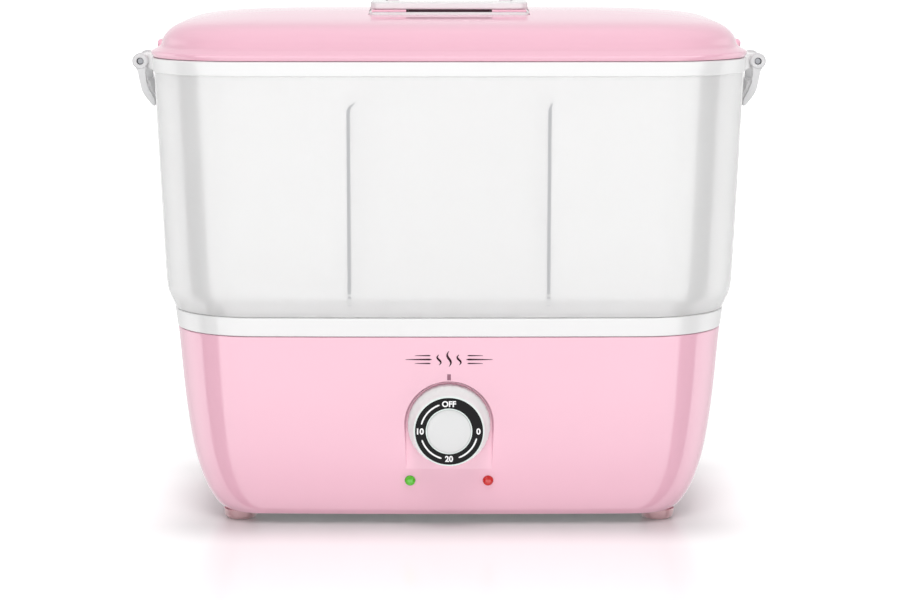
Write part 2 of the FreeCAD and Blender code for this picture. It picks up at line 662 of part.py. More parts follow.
def divider(x):
    half = DIVIDER_HALF_DEPTH
    plate = box(x - DIVIDER_THICK / 2, x + DIVIDER_THICK / 2, -half, half, 117.9, DIVIDER_TOP)
    plate = soften(plate, 9.0, lambda e: e.BoundBox.ZMin > DIVIDER_TOP - 0.01 and e.BoundBox.YLength < 0.1)
    return plate.cut(rod(13.0, V(x - 5, 0, DIVIDER_TOP), V(x + 5, 0, DIVIDER_TOP)))


def lid():
    outside = fused([body(LIP), body(SHOULDER), body(smooth(DOME, 16))])
    outside = outside.fuse(slab(149.4, 88.4, 44.0, 246.9, 247.6)).fuse(slab(148.4, 87.4, 43.0, 243.6, 247.6))
    throat = slab(146.2, 85.2, 41.2, 243.0, 250.6)
    under_dome = [(z - LID_WALL, x - LID_WALL, y - LID_WALL, r - 2.0) for z, x, y, r in smooth(DOME, 10)]
    shell = outside.cut(throat).cut(body([(250.3, 146.2, 85.2, 41.2)] + under_dome[1:]))
    floor = box(-46, 46, HANDLE_FRONT_Y - 4, 30, SEAT_Z - 2.6, SEAT_Z)
    pocket = box(-WELL_HALF_WIDTH - 2.4, WELL_HALF_WIDTH + 2.4, HANDLE_FRONT_Y, 7.4, 258.6, SEAT_Z)
    shell = shell.fuse(floor.common(outside)).fuse(pocket.common(outside))
    seat = box(-HANDLE_HALF_WIDTH - 0.3, HANDLE_HALF_WIDTH + 0.3, HANDLE_FRONT_Y - 0.3, 26.3, SEAT_Z, 280)
    shell = shell.cut(seat).fuse(box(-39.4, 39.4, -41.9, 21.9, SEAT_Z, PLATFORM_TOP))
    shell = shell.fuse(box(-39.4, 39.4, -43.4, -41.9, SEAT_Z + BEZEL_THICK, PLATFORM_TOP))
    for side in (-1, 1):
        shell = shell.fuse(handle_lug(side)).fuse(catch_block(side))
    shell = shell.cut(box(-WELL_HALF_WIDTH, WELL_HALF_WIDTH, -41.4, 5.0, 261.0, 280))
    shell = shell.cut(box(-WELL_HALF_WIDTH, WELL_HALF_WIDTH, -45.0, -41.0, SEAT_Z + BEZEL_THICK, 280))
    for side in (-1, 1):
        bore = rod(1.5, V(side * 26, HANDLE_PIVOT_Y, pivot_z()), V(side * 34, HANDLE_PIVOT_Y, pivot_z()))
        shell = shell.cut(bore)
    return shell.removeSplitter()


def pivot_z():
    return HANDLE_BOTTOM + HANDLE_THICK / 2


def handle_lug(side):
    x0, x1 = sorted((side * 27.0, side * 33.6))
    block = box(x0, x1, HANDLE_PIVOT_Y - 1.9, HANDLE_PIVOT_Y + 1.9, PLATFORM_TOP - 1, pivot_z())
    head = rod(1.9, V(x0, HANDLE_PIVOT_Y, pivot_z()), V(x1, HANDLE_PIVOT_Y, pivot_z()))
    return block.fuse(head)


def catch_block(side):
    """Block on the lid's end that the latch pocket drops over, hollow on its face."""
    points = [(149.5, CATCH_BOTTOM), (157.0, CATCH_BOTTOM), (157.0, CATCH_TOP - 1.0), (155.6, CATCH_TOP)]
    points.append((149.5, CATCH_TOP))
    block = prism_xz([(side * x, z) for x, z in points], -CATCH_HALF_WIDTH, CATCH_HALF_WIDTH)
    p0, p1 = sorted((side * 155.4, side * 158.0))
    return block.cut(box(p0, p1, -CATCH_HALF_WIDTH + 1.5, CATCH_HALF_WIDTH - 1.5, CATCH_BOTTOM - 1, 251.8))


def lid_gasket():
    """Soft bead round the lid's locating skirt."""
    ring = slab(149.6, 88.6, 44.2, 244.6, 246.6)
    return ring.cut(slab(148.4, 87.4, 43.0, 240, 250))


def handle_bezel():
    plate = box(-HANDLE_HALF_WIDTH, HANDLE_HALF_WIDTH, HANDLE_FRONT_Y, 26.0, SEAT_Z, SEAT_Z + BEZEL_THICK)
    plate = soften(plate, 4.0, lambda e: e.BoundBox.ZLength > 1.0)
    return plate.cut(box(-39.6, 39.6, -42.1, 22.1, SEAT_Z - 1, SEAT_Z + 3))


def handle():
    top = HANDLE_BOTTOM + HANDLE_THICK
    frame = box(-HANDLE_HALF_WIDTH, HANDLE_HALF_WIDTH, HANDLE_FRONT_Y, HANDLE_PIVOT_Y, HANDLE_BOTTOM, top)
    frame = soften(frame, 7.0, lambda e: e.BoundBox.ZLength > 3.0 and e.BoundBox.YMax < HANDLE_FRONT_Y + 0.1)
    opening = box(-34.0, 34.0, HANDLE_FRONT_Y + 16.0, 40.0, HANDLE_BOTTOM - 1, top + 1)
    frame = frame.cut(opening)
    for side in (-1, 1):
        ends = sorted((side * 34.0, side * HANDLE_HALF_WIDTH))
        frame = frame.fuse(rod(HANDLE_THICK / 2, V(ends[0], HANDLE_PIVOT_Y, pivot_z()), V(ends[1], HANDLE_PIVOT_Y, pivot_z())))
    frame = frame.removeSplitter()
    frame = frame.cut(rod(1.56, V(-60, HANDLE_PIVOT_Y, pivot_z()), V(60, HANDLE_PIVOT_Y, pivot_z())))
    return frame


def handle_pins():
    pins = []
    for side in (-1, 1):
        ends = sorted((side * 27.0, side * (HANDLE_HALF_WIDTH - 0.4)))
        pins.append(rod(1.5, V(ends[0], HANDLE_PIVOT_Y, pivot_z()), V(ends[1], HANDLE_PIVOT_Y, pivot_z())))
    return Part.makeCompound(pins)


NODES = {
    "base_shell": base_shell,
    "base_collar": base_collar,
    "water_reservoir": water_reservoir,
    "heating_plate": heating_plate,
    "heater_seal": heater_seal,
    "clamp_ring": clamp_ring,
    "clamp_screws": clamp_screws,
    "heating_element": heating_element,
    "thermostat": thermostat,
    "thermal_fuse": thermal_fuse,
    "bottom_plate": bottom_plate,
    "bottom_screws": bottom_screws,
    "feet": feet,
    "timer_bracket": timer_bracket,
    "timer_screws": timer_screws,
    "timer_housing": timer_housing,
    "timer_bell": timer_bell,
    "timer_shaft": timer_shaft,
    "timer_wheel": timer_wheel,
    "timer_knob": timer_knob,
    "dial_ring": dial_ring,
    "knob_cap": knob_cap,
    "lamp_green": lambda: lamp(-1),
    "lamp_red": lambda: lamp(1),
    "lamp_board": lamp_board,
    "index_mark": index_mark,
    "badge": badge,
    "cord_gland": cord_gland,
    "terminal_block": terminal_block,
    "inner_wiring": inner_wiring,
    "tank": tank,
    "tank_rim": tank_rim,
    "latch_pins": latch_pins,
    "latch_left": lambda: latch(-1),
    "latch_right": lambda: latch(1),
    "divider_left": lambda: divider(-DIVIDER_X),
    "divider_right": lambda: divider(DIVIDER_X),
    "lid": lid,
    "lid_gasket": lid_gasket,
    "handle_bezel": handle_bezel,
    "handle": handle,
    "handle_pins": handle_pins,
}

os.makedirs("parts", exist_ok=True)
for name, make in NODES.items():
    shape = make()
    shape.exportStep("parts/" + name + ".step")
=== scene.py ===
import math
import bmesh
import bpy
from mathutils import Matrix, Vector


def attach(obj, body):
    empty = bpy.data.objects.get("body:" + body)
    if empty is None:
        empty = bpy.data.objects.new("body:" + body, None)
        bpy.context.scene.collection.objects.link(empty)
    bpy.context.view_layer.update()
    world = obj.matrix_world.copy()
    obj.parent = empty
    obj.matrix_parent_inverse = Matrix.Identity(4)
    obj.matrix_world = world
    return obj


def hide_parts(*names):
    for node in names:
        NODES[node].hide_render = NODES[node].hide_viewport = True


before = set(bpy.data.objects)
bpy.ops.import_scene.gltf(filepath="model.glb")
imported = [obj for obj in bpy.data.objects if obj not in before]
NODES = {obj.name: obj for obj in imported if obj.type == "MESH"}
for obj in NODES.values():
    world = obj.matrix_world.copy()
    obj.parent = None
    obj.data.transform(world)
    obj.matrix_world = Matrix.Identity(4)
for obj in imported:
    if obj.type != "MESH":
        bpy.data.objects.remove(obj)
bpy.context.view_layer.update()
MM = 0.001

# ---------------------------------------------------------------- shapes of the housing (mm)
LONG_BOW = 2.0
SHORT_BOW = 1.0
BASE = [
    (5.5, 122.7, 66.0, 24.0), (9.3, 126.1, 69.2, 27.0), (14.8, 129.5, 72.3, 30.0), (20.3, 132.1, 74.7, 32.5),
    (31.3, 135.7, 78.1, 36.0), (42.3, 138.1, 80.3, 38.3), (53.2, 139.8, 81.9, 40.0), (64.1, 141.2, 83.2, 41.3),
    (75.0, 142.3, 84.2, 42.3), (91.5, 143.7, 85.5, 43.5), (104.5, 144.8, 86.6, 44.5),
]
TANK = [
    (114.9, 146.1, 87.9, 45.9), (118.0, 147.3, 89.1, 46.6), (121.0, 148.6, 90.3, 47.3), (123.2, 149.4, 91.1, 47.8),
    (125.4, 149.9, 91.6, 48.0), (129.0, 150.3, 91.9, 48.2), (134.0, 150.6, 92.1, 48.3), (171.0, 152.2, 92.9, 48.7),
    (220.0, 154.2, 93.7, 49.1), (239.5, 155.0, 94.0, 49.3),
]
DOME = [
    (253.4, 151.0, 90.0, 46.0), (257.5, 149.9, 88.6, 45.0), (259.9, 148.3, 86.6, 44.0), (261.8, 146.4, 83.9, 42.5),
    (263.4, 144.0, 80.2, 40.5), (265.0, 140.4, 74.5, 38.0), (266.6, 134.3, 64.5, 35.0), (268.1, 125.7, 50.0, 32.0),
    (269.4, 112.5, 35.0, 26.0), (270.2, 96.0, 22.0, 18.0), (270.5, 80.0, 12.0, 10.0),
]
KNOB_Z = 57.0
LAMP_X, LAMP_Z = 20.5, 26.5
GLAND_X, GLAND_Z = -80, 31
DIVIDER_X = 51.2
LATCH_X, LATCH_Z = 165.6, 242.8   # pivot of the right latch
HINGE_Y, HINGE_Z = 14, 273.4   # pivot of the handle
NICHE_BACK_Y = -78.6
NICHE_FRONT_Y = -110.0   # where the cutter ends, clear of the front
NICHE_DRAFT = 8.35 / 31.4   # widening of the niche per millimetre towards the front

# Brightness of the surround: what lights the surfaces, and what they mirror in each direction.
FILL_LEVEL = 0.44
FRONT_MIRROR = 3.0
SIDE_MIRROR = 2.1
BACK_MIRROR = 0.95
TOP_MIRROR = 0.65
GROUND_MIRROR = 0.5
FLOOR_BOUNCE = 0.5
# The floor's darkest part is a painted shadow around the object's footprint.
SHADOW_FOOTPRINT = (0.118, 0.062, 0.0)   # half width and half depth of the darkest part of the floor


def arc_run(centre, start, end, steps):
    """Points on an arc, counter-clockwise, without the last one."""
    radius = math.hypot(start[0] - centre[0], start[1] - centre[1])
    a = math.atan2(start[1] - centre[1], start[0] - centre[0])
    b = math.atan2(end[1] - centre[1], end[0] - centre[0])
    while b < a:
        b += 2 * math.pi
    return [(centre[0] + radius * math.cos(a + (b - a) * i / steps),
             centre[1] + radius * math.sin(a + (b - a) * i / steps)) for i in range(steps)]


def outline(half_x, half_y, corner, steps=(26, 16, 14)):
    """Rounded rectangle with bowed sides, as (x, y) points in mm, from the front left tangent point."""
    big = (half_x ** 2 + LONG_BOW ** 2) / (2 * LONG_BOW)
    small = (half_y ** 2 + SHORT_BOW ** 2) / (2 * SHORT_BOW)
    cx = half_x - corner
    cy = half_y - corner
    for _ in range(30):
        cy = half_y - big + math.sqrt((big - corner) ** 2 - cx ** 2)
        cx = half_x - small + math.sqrt((small - corner) ** 2 - cy ** 2)
    k = big / (big - corner)
    lx, ly = cx * k, (cy - (half_y - big)) * k + half_y - big
    k = small / (small - corner)
    sx, sy = (cx - (half_x - small)) * k + half_x - small, cy * k
    front, corner_steps, side = steps
    points = arc_run((0, big - half_y), (-lx, -ly), (lx, -ly), front)
    points += arc_run((cx, -cy), (lx, -ly), (sx, -sy), corner_steps)
    points += arc_run((half_x - small, 0), (sx, -sy), (sx, sy), side)
    points += arc_run((cx, cy), (sx, sy), (lx, ly), corner_steps)
    points += arc_run((0, half_y - big), (lx, ly), (-lx, ly), front)
    points += arc_run((-cx, cy), (-lx, ly), (-sx, sy), corner_steps)
    points += arc_run((small - half_x, 0), (-sx, sy), (-sx, -sy), side)
    points += arc_run((-cx, -cy), (-sx, -sy), (-lx, -ly), corner_steps)
    return points


def smooth(sections, count):
    """The stack resampled at even steps along its profile, without overshoot."""
    along = [0.0]
    for low, high in zip(sections, sections[1:]):
        along.append(along[-1] + math.hypot(high[0] - low[0], high[1] - low[1]))
    columns = list(zip(*sections))
    slopes = [gentle_slopes(along, column) for column in columns]
    result = []
    for i in range(count + 1):
        s = along[-1] * i / count
        k = max(j for j in range(len(along) - 1) if along[j] <= s + 1e-9)
        h = along[k + 1] - along[k]
        t = (s - along[k]) / h
        result.append(tuple(hermite(c[k], c[k + 1], m[k] * h, m[k + 1] * h, t) for c, m in zip(columns, slopes)))
    return result


def gentle_slopes(along, values):
    steps = [(b - a) / (q - p) for a, b, p, q in zip(values, values[1:], along, along[1:])]
    slopes = [steps[0]]
    for before, after in zip(steps, steps[1:]):
        slopes.append(0.0 if before * after <= 0 else 2 * before * after / (before + after))
    return slopes + [steps[-1]]


def hermite(a, b, slope_a, slope_b, t):
    bend = (2 * t ** 3 - 3 * t ** 2 + 1) * a + (3 * t ** 2 - 2 * t ** 3) * b
    return bend + (t ** 3 - 2 * t ** 2 + t) * slope_a + (t ** 3 - t ** 2) * slope_b


def grown(sections, by, rise=0.0):
    return [(z + rise, x + by, y + by, r + by) for z, x, y, r in sections]


def rounded_loop(points, radii, steps=4):
    """Closed 2-D polygon with each corner rounded by its own radius."""
    result = []
    count = len(points)
    for i, radius in enumerate(radii):
        p = Vector(points[i])
        a = Vector(points[i - 1]) - p
        b = Vector(points[(i + 1) % count]) - p
        if radius <= 0:
            result.append(tuple(p))
            continue
        half = a.angle(b) / 2
        reach = min(radius / math.tan(half), a.length * 0.49, b.length * 0.49)
        start = p + a.normalized() * reach
        end = p + b.normalized() * reach
        for k in range(steps + 1):
            t = k / steps
            result.append(tuple((1 - t) ** 2 * start + 2 * t * (1 - t) * p + t ** 2 * end))
    return result


# ---------------------------------------------------------------- mesh helpers
def finished(bm, name, sharp=32.0):
    """Object from a bmesh in mm, smooth-shaded with its sharp edges marked."""
    bmesh.ops.recalc_face_normals(bm, faces=bm.faces)
    limit = math.radians(sharp)
    for face in bm.faces:
        face.smooth = True
    for edge in bm.edges:
        edge.smooth = not (len(edge.link_faces) == 2 and edge.calc_face_angle(0.0) > limit)
    mesh = bpy.data.meshes.new(name)
    bm.to_mesh(mesh)
    bm.free()
    mesh.transform(Matrix.Scale(MM, 4))
    made = bpy.data.objects.new(name, mesh)
    bpy.context.scene.collection.objects.link(made)
    even = made.modifiers.new("even_normals", "WEIGHTED_NORMAL")
    even.keep_sharp = True
    even.weight = 90
    return made


def stack_bm(rings, closed, steps=(26, 16, 14)):
    """Rings of (z, half x, half y, corner) joined into a skin; closed joins the last to the first."""
    bm = bmesh.new()
    loops = []
    for z, x, y, r in rings:
        loops.append([bm.verts.new((px, py, z)) for px, py in outline(x, y, r, steps)])
    pairs = list(zip(loops, loops[1:])) + ([(loops[-1], loops[0])] if closed else [])
    for low, high in pairs:
        for i in range(len(low)):
            j = (i + 1) % len(low)
            bm.faces.new((low[i], low[j], high[j], high[i]))
    if not closed:
        bm.faces.new(loops[0][::-1])
        bm.faces.new(loops[-1])
    bmesh.ops.recalc_face_normals(bm, faces=bm.faces)
    return bm


def ring_bm(reference, loop, steps=(26, 16, 14)):
    """A closed (offset, z) profile swept round an outline."""
    x, y, r = reference
    return stack_bm([(z, x + o, y + o, r + o) for o, z in loop], True, steps)


def box_bm(low, high, bevel=0.0, segments=3, only=None):
    bm = bmesh.new()
    bmesh.ops.create_cube(bm, size=1.0)
    for v in bm.verts:
        v.co = Vector([low[i] + (v.co[i] + 0.5) * (high[i] - low[i]) for i in range(3)])
    if bevel:
        edges = [e for e in bm.edges if only is None or only(e)]
        bmesh.ops.bevel(bm, geom=edges, offset=bevel, segments=segments, profile=0.5, affect="EDGES")
    return bm


def prism_bm(points, axis, start, end):
    """Flat outline given in the plane across axis ('x', 'y' or 'z'), pushed from start to end."""
    place = {"x": lambda p, d: (d, p[0], p[1]), "y": lambda p, d: (p[0], d, p[1]),
             "z": lambda p, d: (p[0], p[1], d)}[axis]
    bm = bmesh.new()
    first = [bm.verts.new(place(p, start)) for p in points]
    last = [bm.verts.new(place(p, end)) for p in points]
    bm.faces.new(first)
    bm.faces.new(last[::-1])
    for i in range(len(points)):
        j = (i + 1) % len(points)
        bm.faces.new((first[i], first[j], last[j], last[i]))
    bmesh.ops.recalc_face_normals(bm, faces=bm.faces)
    return bm


def lathe_bm(profile, centre, axis, steps=64, warp=None):
    """Turned solid: profile of (radius, distance along axis), first and last on the axis."""
    turn = Vector((0, 0, 1)).rotation_difference(Vector(axis)).to_matrix().to_4x4()
    bm = bmesh.new()
    rings = []
    for radius, d in profile:
        if radius <= 1e-6:
            rings.append([bm.verts.new((0, 0, d))])
            continue
        ring = []
        for i in range(steps):
            a = 2 * math.pi * i / steps
            r = warp(radius, d, a) if warp else radius
            ring.append(bm.verts.new((r * math.cos(a), r * math.sin(a), d)))
        rings.append(ring)
    for low, high in zip(rings, rings[1:]):
        for i in range(steps):
            j = (i + 1) % steps
            if len(low) == 1 and len(high) == 1:
                continue
            if len(low) == 1:
                bm.faces.new((low[0], high[j], high[i]))
            elif len(high) == 1:
                bm.faces.new((low[i], low[j], high[0]))
            else:
                bm.faces.new((low[i], low[j], high[j], high[i]))
    if len(rings[0]) > 1 and len(rings[-1]) > 1:
        for i in range(steps):
            j = (i + 1) % steps
            bm.faces.new((rings[-1][i], rings[-1][j], rings[0][j], rings[0][i]))
    bmesh.ops.transform(bm, matrix=Matrix.Translation(Vector(centre)) @ turn, verts=bm.verts)
    bmesh.ops.recalc_face_normals(bm, faces=bm.faces)
    return bm


def rod_bm(radius, start, end, steps=32, edge=0.0):
    start = Vector(start)
    way = Vector(end) - start
    length = way.length
    if edge:
        profile = [(0, 0), (radius - edge, 0), (radius, edge), (radius, length - edge),
                   (radius - edge, length), (0, length)]
    else:
        profile = [(0, 0), (radius, 0), (radius, length), (0, length)]
    return lathe_bm(profile, start, way.normalized(), steps)


def joined(parts):
    """Several bmeshes in one."""
    whole = bmesh.new()
    for part in parts:
        mesh = bpy.data.meshes.new("part")
        part.to_mesh(mesh)
        part.free()
        whole.from_mesh(mesh)
        bpy.data.meshes.remove(mesh)
    return whole


def combined(a, b, operation):
    """Boolean of two bmeshes; both are used up."""
    objects = []
    for bm in (a, b):
        bmesh.ops.triangulate(bm, faces=bm.faces)
        mesh = bpy.data.meshes.new("operand")
        bm.to_mesh(mesh)
        bm.free()
        thing = bpy.data.objects.new("operand", mesh)
        bpy.context.scene.collection.objects.link(thing)
        objects.append(thing)
    modifier = objects[0].modifiers.new("cut", "BOOLEAN")
    modifier.operation = operation
    modifier.object = objects[1]
    modifier.solver = "EXACT"
    bpy.context.view_layer.update()
    evaluated = objects[0].evaluated_get(bpy.context.evaluated_depsgraph_get())
    result = bmesh.new()
    result.from_mesh(evaluated.to_mesh())
    evaluated.to_mesh_clear()
    for thing in objects:
        mesh = thing.data
        bpy.data.objects.remove(thing)
        bpy.data.meshes.remove(mesh)
    return result


def tombstone(radius, y0, y1, z_low, steps=48):
    points = [(radius * math.cos(math.pi * i / steps), KNOB_Z + radius * math.sin(math.pi * i / steps))
              for i in range(steps + 1)]
    return prism_bm([(radius, z_low)] + points + [(-radius, z_low)], "y", y0, y1)


def placed(made, body, slot, material, *nodes):
    made.data.materials.clear()
    made.data.materials.append(material)
    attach(made, body)
    if nodes:
        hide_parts(*nodes)
    return made


# ---------------------------------------------------------------- materials
def srgb(r, g, b):
    def linear(c):
        c /= 255.0
        return c / 12.92 if c <= 0.04045 else ((c + 0.055) / 1.055) ** 2.4
    return (linear(r), linear(g), linear(b), 1.0)


def plastic(name, colour, vary=0.03, roughness=0.2, spread=0.05, scale=18.0, bump=0.02, bump_scale=900.0, **sockets):
    """Moulded plastic: faint colour drift, uneven gloss and a fine surface texture."""
    made = bpy.data.materials.new(name)
    made.use_nodes = True
    tree = made.node_tree
    shader = tree.nodes["Principled BSDF"]
    shader.inputs["Base Color"].default_value = colour
    place = tree.nodes.new("ShaderNodeTexCoord")
    cloud = tree.nodes.new("ShaderNodeTexNoise")
    cloud.inputs["Scale"].default_value = scale
    cloud.inputs["Detail"].default_value = 3.0
    tree.links.new(place.outputs["Object"], cloud.inputs["Vector"])
    tint = tree.nodes.new("ShaderNodeMix")
    tint.data_type = "RGBA"
    tint.inputs["A"].default_value = tuple(c * (1 - vary) for c in colour[:3]) + (1.0,)
    tint.inputs["B"].default_value = tuple(min(1.0, c * (1 + vary)) for c in colour[:3]) + (1.0,)
    tree.links.new(cloud.outputs["Fac"], tint.inputs["Factor"])
    tree.links.new(tint.outputs["Result"], shader.inputs["Base Color"])
    gloss = tree.nodes.new("ShaderNodeMapRange")
    gloss.inputs["To Min"].default_value = max(0.0, roughness - spread)
    gloss.inputs["To Max"].default_value = roughness + spread
    tree.links.new(cloud.outputs["Fac"], gloss.inputs["Value"])
    tree.links.new(gloss.outputs["Result"], shader.inputs["Roughness"])
    grain = tree.nodes.new("ShaderNodeTexNoise")
    grain.inputs["Scale"].default_value = bump_scale
    grain.inputs["Detail"].default_value = 2.0
    tree.links.new(place.outputs["Object"], grain.inputs["Vector"])
    relief = tree.nodes.new("ShaderNodeBump")
    relief.inputs["Strength"].default_value = bump
    relief.inputs["Distance"].default_value = 0.0002
    tree.links.new(grain.outputs["Fac"], relief.inputs["Height"])
    tree.links.new(relief.outputs["Normal"], shader.inputs["Normal"])
    for key, value in sockets.items():
        shader.inputs[key.replace("_", " ")].default_value = value
    return made


PINK = plastic("pink_plastic", srgb(243, 190, 208), vary=0.015, roughness=0.11, spread=0.02, IOR=1.5,
               Coat_Weight=0.3, Coat_Roughness=0.04)
WHITE = plastic("white_plastic", srgb(234, 234, 234), vary=0.008, roughness=0.25, Coat_Weight=0.2)
# The frosted plastic's faint white emission is a painted glow.
CLEAR = plastic("frosted_plastic", srgb(244, 244, 244), vary=0.005, roughness=0.24, spread=0.03,
                Transmission_Weight=0.45, IOR=1.46, Coat_Weight=0.6, Coat_Roughness=0.06,
                Emission_Color=(1.0, 1.0, 1.0, 1.0), Emission_Strength=0.03)
DIVIDER = plastic("divider_plastic", srgb(214, 216, 217), vary=0.01, roughness=0.35, Transmission_Weight=0.1,
                  IOR=1.46)
# Grey painted shade for the lines where the dividers' edges show through the frosted tank wall.
DIVIDER_SHADE_LINE = plastic("divider_shade_line", srgb(176, 177, 179), vary=0.02, roughness=0.35)
# A darker copy of the plated steel: painted shade for the pin ends in their pivot eyes.
PIN_STEEL_SHADED = plastic("pin_steel_shaded", srgb(112, 113, 116), vary=0.06, roughness=0.35, spread=0.08, Metallic=1.0)
PAN = plastic("pan_plastic", srgb(226, 226, 224), vary=0.02, roughness=0.4)
ALUMINIUM = plastic("aluminium", srgb(200, 202, 205), vary=0.04, roughness=0.32, spread=0.1, Metallic=1.0)
STEEL = plastic("plated_steel", srgb(198, 199, 201), vary=0.04, roughness=0.3, spread=0.1, Metallic=1.0)
HOT_STEEL = plastic("element_steel", srgb(120, 112, 104), vary=0.15, roughness=0.45, spread=0.1, Metallic=1.0)
SILICONE = plastic("silicone", srgb(228, 228, 222), vary=0.02, roughness=0.55)
FOOT = plastic("foot_rubber", srgb(232, 190, 194), vary=0.05, roughness=0.25, Transmission_Weight=0.15, IOR=1.45)
BLACK_RUBBER = plastic("black_rubber", srgb(26, 26, 27), vary=0.15, roughness=0.6, bump=0.15)
# The knob plastic's faint greenish emission is a painted glow that brightens the skirt.
KNOB = plastic("knob_plastic", srgb(230, 240, 236), vary=0.015, roughness=0.34, Coat_Weight=0.05,
               Emission_Color=(0.86, 1.0, 0.96, 1.0), Emission_Strength=0.08)
DIAL = plastic("dial_black", srgb(14, 14, 15), vary=0.1, roughness=0.5, spread=0.08, Specular_IOR_Level=0.12)
CAP = plastic("cap_grey", srgb(222, 223, 223), vary=0.015, roughness=0.35)
# A greyer copy of the white plastic: painted shade on the latches.
LATCH_WHITE_SHADED = plastic("latch_white_shaded", srgb(212, 212, 213), vary=0.008, roughness=0.3)
PRINT_WHITE = plastic("print_white", srgb(245, 245, 245), vary=0.01, roughness=0.4)
INK = plastic("print_ink", srgb(40, 14, 24), vary=0.08, roughness=0.4, Specular_IOR_Level=0.12)
MARK = plastic("mark_ink", srgb(152, 108, 124), vary=0.05, roughness=0.4, Specular_IOR_Level=0.12)
# Painted shadow: a dark sheet colour for the shade inside the finger well.
WELL = plastic("well_shadow", srgb(78, 50, 60), vary=0.08, roughness=0.6)
GREEN = plastic("lens_green", srgb(84, 190, 34), vary=0.06, roughness=0.12, Emission_Color=srgb(92, 205, 30),
                Emission_Strength=0.03, Specular_IOR_Level=0.6)
RED = plastic("lens_red", srgb(204, 28, 24), vary=0.06, roughness=0.12, Emission_Color=srgb(220, 30, 25),
              Emission_Strength=0.02, Specular_IOR_Level=0.6)
BOARD = plastic("board", srgb(60, 120, 66), vary=0.1, roughness=0.45)
BRASS = plastic("brass", srgb(205, 170, 100), vary=0.06, roughness=0.3, Metallic=1.0)
BLOCK = plastic("block_plastic", srgb(224, 218, 202), vary=0.03, roughness=0.5)
WIRE = plastic("wire_sleeve", srgb(190, 180, 168), vary=0.15, roughness=0.45)


def turned_edges(bm, width, wanted, segments=2):
    """Round the edges that wanted(edge) picks."""
    edges = [e for e in bm.edges if wanted(e)]
    bmesh.ops.bevel(bm, geom=edges, offset=width, segments=segments, profile=0.5, affect="EDGES")
    return bm


def flat_across(axis):
    """Picks the rim edges of a prism: both ends at the same place along the axis."""
    return lambda e: abs(e.verts[0].co[axis] - e.verts[1].co[axis]) < 1e-5


# ---------------------------------------------------------------- base
def make_base():
    outer = [(5.5, 121.6, 64.9, 22.9), (5.55, 122.2, 65.5, 23.5), (5.9, 122.8, 66.1, 24.1)]
    outer += smooth(BASE, 64)[2:-1]
    outer += [(103.9, 144.75, 86.55, 44.45), (104.25, 144.65, 86.45, 44.35), (104.5, 144.3, 86.1, 44.0)]
    solid = stack_bm(outer, False)
    inner = [s for s in smooth(grown(BASE, -2.5), 24) if s[0] < 100.5]
    inner = [(4.0, 120.2, 63.5, 21.5)] + inner + [(101.0, 142.0, 83.8, 41.7)]
    hollow = combined(stack_bm(inner, False), tombstone(25.8, -110, -75.5, 10.0), "DIFFERENCE")
    solid = combined(solid, hollow, "DIFFERENCE")
    solid = combined(solid, stack_bm([(99.0, 137.4, 79.2, 38.0), (106.0, 137.4, 79.2, 38.0)], False), "DIFFERENCE")
    niche = tombstone(22.4, NICHE_FRONT_Y, NICHE_BACK_Y, 12.0, 72)
    for vert in niche.verts:
        if vert.co.y < NICHE_BACK_Y - 1.0:
            out = Vector((vert.co.x, 0, max(vert.co.z - KNOB_Z, 0.0))).normalized()
            vert.co += out * (NICHE_BACK_Y - NICHE_FRONT_Y) * NICHE_DRAFT
    solid = combined(solid, niche, "DIFFERENCE")
    holes = [rod_bm(2.85, (side * LAMP_X, -90, LAMP_Z), (side * LAMP_X, -68, LAMP_Z)) for side in (-1, 1)]
    holes.append(rod_bm(4.2, (0, -90, KNOB_Z), (0, -70, KNOB_Z)))
    holes.append(rod_bm(6.0, (GLAND_X, 60, GLAND_Z), (GLAND_X, 100, GLAND_Z)))
    for hole in holes:
        solid = combined(solid, hole, "DIFFERENCE")
    placed(finished(solid, "base_housing"), "base", "pink_plastic", PINK, "base_shell")


def make_collar():
    loop = [(0.0, 114.75), (-6.7, 114.75), (-6.7, 107.3), (-3.8, 107.3), (-3.8, 104.8), (-1.1, 104.8)]
    profile = rounded_loop(loop, [0.9, 0.5, 0, 0, 0.2, 0.7])
    made = finished(ring_bm((146.2, 88.0, 46.0), profile), "collar_ring")
    placed(made, "base", "white_plastic", WHITE, "base_collar")


def wall_y(stack, x, z):
    """Y of the front face of a stack of sections."""
    low, high = next((a, b) for a, b in zip(stack, stack[1:]) if a[0] <= z <= b[0])
    t = (z - low[0]) / (high[0] - low[0])
    half_x = low[1] + t * (high[1] - low[1])
    half_y = low[2] + t * (high[2] - low[2])
    big = (half_x ** 2 + LONG_BOW ** 2) / (2 * LONG_BOW)
    return big - half_y - math.sqrt(big ** 2 - x ** 2)


def skin_rows(bm, rows):
    """Closes a bar whose cross-sections are rows of four vertices: near and far, on one side and the other."""
    for low, high in zip(rows, rows[1:]):
        bm.faces.new((low[0], low[2], high[2], high[0]))
        bm.faces.new((low[1], high[1], high[3], low[3]))
        bm.faces.new((low[0], high[0], high[1], low[1]))
        bm.faces.new((low[2], low[3], high[3], high[2]))
    bm.faces.new((rows[0][0], rows[0][1], rows[0][3], rows[0][2]))
    bm.faces.new((rows[-1][0], rows[-1][2], rows[-1][3], rows[-1][1]))


